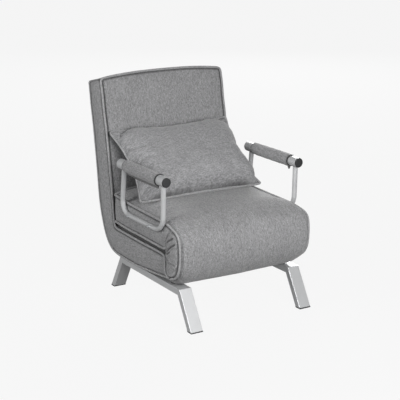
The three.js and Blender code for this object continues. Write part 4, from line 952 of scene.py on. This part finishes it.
def material(name, **shader):
    """An empty material with a Principled shader whose uniform values are set on its own sockets."""
    made = bpy.data.materials.new(name)
    made.use_nodes = True
    body = made.node_tree.nodes["Principled BSDF"]
    for key, value in shader.items():
        body.inputs[key.replace("_", " ")].default_value = value
    return made, made.node_tree, body


# %% [markdown]
# ### Linen-look polyester, woven from heathered yarn
# The cloth is a plain weave of grey yarns whose lightness changes along their length, which gives short
# pale and dark streaks both ways. Every yarn is 1.3 mm wide here and has its own random grey on each 7 mm
# of a warp yarn and each 4 mm of a weft yarn, and the pieces of neighbouring yarns don't begin side by
# side. Broader bands along the warp come from the dyeing. The cloth is matt, with a little sheen from
# loose fibres.

# %% Linen
YARN, WARP_PIECE, WEFT_PIECE = 0.0013, 0.0075, 0.004
BAND_LENGTH, BAND_WIDTH = 0.05, 0.009
WAVE_SCALE = 0.314 / (2 * YARN)  # a wave texture repeats every 0.314 units at scale 1


def linen(name, dark, light, painted_shade_depth=0.5):
    made, tree, body = material(name, Roughness=0.92, Sheen_Weight=0.25, Sheen_Roughness=0.5)
    cloth = add(tree, "ShaderNodeUVMap", uv_map="cloth").outputs["UV"]
    place = add(tree, "ShaderNodeTexCoord").outputs["Object"]
    greys = []
    warp_size, weft_size = (1 / WARP_PIECE, 1 / YARN, 1), (1 / YARN, 1 / WEFT_PIECE, 1)
    for size, along, across in ((warp_size, "X", "Y"), (weft_size, "Y", "X")):
        counted = add(tree, "ShaderNodeMapping", {"Vector": cloth, "Scale": size}).outputs["Vector"]
        parts = add(tree, "ShaderNodeSeparateXYZ", {"Vector": counted}).outputs
        yarn_number = add(tree, "ShaderNodeMath", {0: parts[across]}, operation="FLOOR").outputs[0]
        start = add(tree, "ShaderNodeTexWhiteNoise", {"W": yarn_number},
                    noise_dimensions="1D").outputs["Value"]
        moved = add(tree, "ShaderNodeMath", {0: parts[along], 1: start}, operation="ADD").outputs[0]
        piece_number = add(tree, "ShaderNodeMath", {0: moved}, operation="FLOOR").outputs[0]
        pair = add(tree, "ShaderNodeCombineXYZ", {"X": yarn_number, "Y": piece_number}).outputs["Vector"]
        greys.append(add(tree, "ShaderNodeTexWhiteNoise", {"Vector": pair},
                         noise_dimensions="2D").outputs["Value"])
    slubs = add(tree, "ShaderNodeMix", {0: 0.42, 2: greys[0], 3: greys[1]}).outputs[0]
    yarn = add(tree, "ShaderNodeMix", {0: slubs, 6: colour(dark), 7: colour(light)},
               data_type="RGBA").outputs[2]
    band_size = (1 / BAND_LENGTH, 1 / BAND_WIDTH, 1)
    banded = add(tree, "ShaderNodeMapping", {"Vector": cloth, "Scale": band_size}).outputs["Vector"]
    bands = add(tree, "ShaderNodeTexNoise", {"Vector": banded, "Scale": 1.0, "Detail": 1.0}).outputs["Fac"]
    clouds = add(tree, "ShaderNodeTexNoise", {"Vector": place, "Scale": 9.0, "Detail": 2.0}).outputs["Fac"]
    uneven = add(tree, "ShaderNodeMath", {0: bands, 1: clouds}, operation="ADD").outputs[0]
    faded = add(tree, "ShaderNodeMapRange", {"Value": uneven, "From Min": 0.7, "From Max": 1.3,
                                             "To Min": 0.93, "To Max": 1.07}).outputs["Result"]
    tinted = add(tree, "ShaderNodeVectorMath", {0: yarn, "Scale": faded}, operation="SCALE").outputs[0]
    # painted shade: the shade value darkens the cloth's colour beside the welts, in the creases, in the
    # slit and under the cover's edges
    shade = add(tree, "ShaderNodeAttribute", attribute_name="shade").outputs["Fac"]
    painted_shade_factor = add(tree, "ShaderNodeMapRange", {
        "Value": shade, "From Max": 1.25, "To Min": 1.0, "To Max": 1.0 - 1.25 * painted_shade_depth}).outputs[0]
    final = add(tree, "ShaderNodeVectorMath", {0: tinted, "Scale": painted_shade_factor}, operation="SCALE").outputs[0]
    tree.links.new(final, body.inputs["Base Color"])
    weave = [add(tree, "ShaderNodeTexWave", {"Vector": cloth, "Scale": WAVE_SCALE, "Distortion": 1.2,
                                             "Detail": 1.0, "Detail Scale": 6.0},
                 bands_direction=way).outputs["Fac"] for way in ("X", "Y")]
    crossed = add(tree, "ShaderNodeMath", {0: weave[0], 1: weave[1]}, operation="MULTIPLY").outputs[0]
    bump = add(tree, "ShaderNodeBump", {"Height": crossed, "Strength": 0.25,
                                        "Distance": 0.001}).outputs["Normal"]
    tree.links.new(bump, body.inputs["Normal"])
    return made


linen_cloth = linen("linen_look_polyester_woven", "#616162", "#a3a3a4", 0.72)
# the pillow's copy of the cloth is painted lighter, standing in for the light on its upturned face
lighter_pillow_cloth = linen("linen_look_polyester_pillow", "#68686a", "#a9a9aa", 0.72)
welt_cloth = linen("linen_look_polyester_welt", "#747475", "#a9a9aa", 0.0)

# %% [markdown]
# ### Powder-coated steel, zinc-plated steel, moulded plastic and rubber
# Powder is sprayed on the tubes and baked: a thin, even, slightly pebbled skin that hides the metal. It is
# light silver-grey with a satin gloss, and the grains are about 1 mm across. The inner frames have the same
# skin in black. Bolts and pins are zinc-plated, bright and bluish, and the caps and spacers are moulded of
# near-black plastic with a fine matt grain. The support feet are rubber, blacker and duller.

# %% Powder coats, plating and mouldings
def coated(name, base, second, grain, roughness, metallic=0.0, height=0.00015):
    """A coat whose colour varies a little over some centimetres and whose skin is pebbled by fine noise."""
    made, tree, body = material(name, Metallic=metallic)
    place = add(tree, "ShaderNodeTexCoord").outputs["Object"]
    broad = add(tree, "ShaderNodeTexNoise", {"Vector": place, "Scale": 22.0, "Detail": 3.0}).outputs["Fac"]
    mixed = add(tree, "ShaderNodeMix", {0: broad, 6: colour(base), 7: colour(second)},
                data_type="RGBA").outputs[2]
    tree.links.new(mixed, body.inputs["Base Color"])
    fine_grain = add(tree, "ShaderNodeTexNoise", {"Vector": place, "Scale": 1 / grain,
                                                  "Detail": 2.0}).outputs["Fac"]
    gloss = add(tree, "ShaderNodeMapRange", {"Value": fine_grain, "To Min": roughness - 0.08,
                                             "To Max": roughness + 0.08}).outputs["Result"]
    tree.links.new(gloss, body.inputs["Roughness"])
    bump = add(tree, "ShaderNodeBump", {"Height": fine_grain, "Strength": 0.5,
                                        "Distance": height}).outputs["Normal"]
    tree.links.new(bump, body.inputs["Normal"])
    return made


silver_coat = coated("steel_tube_powder_coated_silver", "#c3c4c5", "#cbcccd", 0.0011, 0.4, 0.4)
black_steel = coated("steel_powder_coated_black", "#1d1e1f", "#26272a", 0.0011, 0.5)
zinc = coated("steel_zinc_plated", "#dcdfe2", "#eceef0", 0.002, 0.3, 0.85)
# injection-moulded polypropylene, whose mould is spark-eroded
black_plastic = coated("polypropylene_moulded_black", "#222324", "#292a2b", 0.0009, 0.55, 0.0, 0.0002)
black_rubber = coated("rubber_moulded_black", "#191a1b", "#222324", 0.0014, 0.75, 0.0, 0.0003)

# %% [markdown]
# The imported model's nodes get their finish by the ends of their names. The cushions, pads and pillow of
# that model are not shown, because the sewn pieces take their place.

# %% Give every shown node its finish
finishes = {
    silver_coat: ("leg_frame", "arm_loop", "arm_bar", "support_leg"),
    black_plastic: ("foot_cap", "arm_cap", "arm_spacer"),
    black_rubber: ("support_foot",),
    zinc: ("leg_bolt", "arm_bolt", "fold_pin", "ratchet_pin", "pawl"),
    black_steel: ("frame", "fold_plate", "ratchet_sector", "ratchet_arm", "support_bracket"),
}
soft_nodes = ("cushion", "pad", "pillow")
for node_name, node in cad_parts.items():
    if node_name.endswith(soft_nodes):
        continue
    chosen_finish = [finish for finish, ends in finishes.items() if node_name.endswith(ends)][0]
    node.data.materials.clear()
    node.data.materials.append(chosen_finish)
for made, cloth in ((back_cover, linen_cloth), (seat_cover, linen_cloth), (pillow_cover, lighter_pillow_cloth),
                    (sleeves["left"], linen_cloth), (sleeves["right"], linen_cloth),
                    (back_welts, welt_cloth), (seat_welts, welt_cloth), (pillow_welt, welt_cloth)):
    made.data.materials.clear()
    made.data.materials.append(cloth)
print("materials", len(bpy.data.materials))

# %% [markdown]
# ## What moves with what
# The seat half of the cover is parted by a line seen from the side: level in the slit, and from the slit's
# end through the hinge's axis to the front, because a line through the axis falls on itself after half a
# turn. What lies above it is counted as turning with the seat. As the line has a kink, each point is first
# laid at height 0 or 1, the transform is baked, and the points go back to their places. The cloth gathered
# in the slit's end spans the unfolded joint, so the weave gets its length there.

# %% The seat's fold
SLIT_END = np.array([-0.216, 0.267])
SEAT_AXIS = np.array([-0.2963, 0.280])
SLIT_FALLS, FALLS_OVER = 0.0055, 0.016  # behind its end the slit falls by this much over this run
GATHERED = 0.16  # length of the cloth that spans the unfolded joint
slope = (SEAT_AXIS - SLIT_END)[1] / (SEAT_AXIS - SLIT_END)[0]
for made in (seat_cover, seat_welts):
    place = points_of(made.data)
    behind_end, height = place[:, 1] - SLIT_END[0], place[:, 2]
    parting = SLIT_END[1] + slope * np.minimum(behind_end, 0)
    turns = height > parting - SLIT_FALLS * smooth_step(behind_end, 0, FALLS_OVER)
    laid = np.zeros_like(place)
    laid[:, 2] = turns
    made.data.vertices.foreach_set("co", laid.ravel())
    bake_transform(made)
    made.data.vertices.foreach_set("co", place.ravel())
    made.data.update()
    print(made.name, int(turns.sum()), "of", len(turns), "points turn with the seat")
    if made is seat_cover:
        on_sheet = np.abs(value_of(made.data, "side")) < 0.01
        lower_face = on_sheet & ~turns & (height > 0.24) & (behind_end > -0.001)
        weave_map = read(made.data.uv_layers["cloth"].data, "uv", 2)
        weave_map[:, 0] += GATHERED * lower_face[corners_of(made.data)]
        made.data.uv_layers["cloth"].data.foreach_set("uv", weave_map.ravel())

# %% [markdown]
# The rear half's transform is baked. The pillow rides on its own body, and the sleeves ride with the seat's
# arms. Each made piece then takes the place of the plain solids it stands for, which are hidden.

# %% Ride and replace
for made in (back_cover, back_welts):
    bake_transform(made)
for made in (pillow_cover, pillow_welt):
    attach(made, "pillow")
    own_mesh(made)
for made in sleeves.values():
    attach(made, "seat")
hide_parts("seat_cushion", "middle_cushion", "front_fold_pad")
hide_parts("back_cushion", "rear_corner_pad")
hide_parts("pillow")
for word, made in sleeves.items():
    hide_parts(word + "_arm_pad")

# %% [markdown]
# ## Floor and light
# The photograph has a plain pale ground with hardly a shadow. A floor that glows by itself for the camera
# looks so; its paint takes only a faint shadow, and what it gives back to the chair is set apart.

# %% Floor
GROUND = colour("#f6f6f6")[0]  # how light the floor and the air behind it look
FLOOR_TAKES = 0.02  # share of the floor's look that a shadow can darken
FLOOR_BOUNCE = 0.19  # light that it gives back to the chair
AIR = 0.80  # light from the front
OVERHEAD = 0.1  # how much of it comes from above
BEHIND = 0.5  # how much of it comes from behind
LAMPS_ON_FLOOR = 0.65  # how brightly the lamps light the floor's paint
floor_grid = np.linspace(-30, 30, 7)
floor_points = np.dstack(np.meshgrid(floor_grid, floor_grid)).reshape(-1, 2)
floor_points = np.column_stack([floor_points, np.full(len(floor_points), -0.0005)])
floor_numbers = np.arange(49).reshape(7, 7)
floor = piece_from("floor", mesh_from("floor", floor_points, quads(floor_numbers)))
floor_paint, floor_tree, floor_shader = material("floor_paint_matt_white", Roughness=1.0)
floor_shader.inputs["Specular IOR Level"].default_value = 0.0
floor_shader.inputs["Base Color"].default_value = (FLOOR_TAKES,) * 3 + (1,)
floor_shader.inputs["Emission Color"].default_value = colour("#ffffff")
seen_glow = add(floor_tree, "ShaderNodeMapRange", {
    "Value": add(floor_tree, "ShaderNodeLightPath").outputs["Is Camera Ray"],
    "To Min": FLOOR_BOUNCE, "To Max": GROUND - FLOOR_TAKES * LAMPS_ON_FLOOR}).outputs["Result"]
floor_tree.links.new(seen_glow, floor_shader.inputs["Emission Strength"])
floor.data.materials.append(floor_paint)

# %% [markdown]
# The light comes from everywhere, less from above and from behind the chair. The camera sees the same pale
# grey in all directions.

# %% The air
world = bpy.data.worlds.new("studio")
bpy.context.scene.world = world
world.use_nodes = True
air_tree = world.node_tree
world_air = air_tree.nodes["Background"]
world_air.inputs["Color"].default_value = colour("#ffffff")
sky_way = add(air_tree, "ShaderNodeTexCoord").outputs["Generated"]
sky_part = add(air_tree, "ShaderNodeSeparateXYZ", {"Vector": sky_way}).outputs
height_air = add(air_tree, "ShaderNodeMapRange", {
    "Value": sky_part["Z"], "From Min": 0.0, "From Max": 0.5,
    "To Min": AIR, "To Max": AIR * OVERHEAD}).outputs["Result"]
depth_air = add(air_tree, "ShaderNodeMapRange", {
    "Value": sky_part["Y"], "From Min": -0.7, "From Max": 0.3,
    "To Min": 1.0, "To Max": BEHIND}).outputs["Result"]
lit_air = add(air_tree, "ShaderNodeMath", {0: height_air, 1: depth_air}, operation="MULTIPLY").outputs[0]
seen_air = add(air_tree, "ShaderNodeMapRange", {
    "Value": add(air_tree, "ShaderNodeLightPath").outputs["Is Camera Ray"],
    "To Min": lit_air, "To Max": GROUND}).outputs["Result"]
air_tree.links.new(seen_air, world_air.inputs["Strength"])
print("light from the front", AIR, "from above", round(AIR * OVERHEAD, 2))

# %% [markdown]
# Three large soft boxes give the light some direction: the key light in front of the chair, a fill from its
# left, and one behind it on the right for the views from the rear.

# %% Soft boxes
def soft_box(name, place, size, watts, aim=(0, 0, 0.4)):
    light = bpy.data.lights.new(name, "AREA")
    light.shape = "DISK"
    light.size = size
    light.energy = watts
    lamp = bpy.data.objects.new(name, light)
    bpy.context.scene.collection.objects.link(lamp)
    toward = np.array(aim) - np.array(place)
    lamp.location = place
    lamp.rotation_euler = turned_to(toward)


soft_box("key", (-0.3, -2.4, 1.25), 1.5, 59)
soft_box("fill", (-4.0, 0.2, 2.0), 2.4, 100)
soft_box("rear", (3.6, 4.8, 2.6), 3.0, 260)
bpy.context.scene.view_settings.view_transform = "Standard"
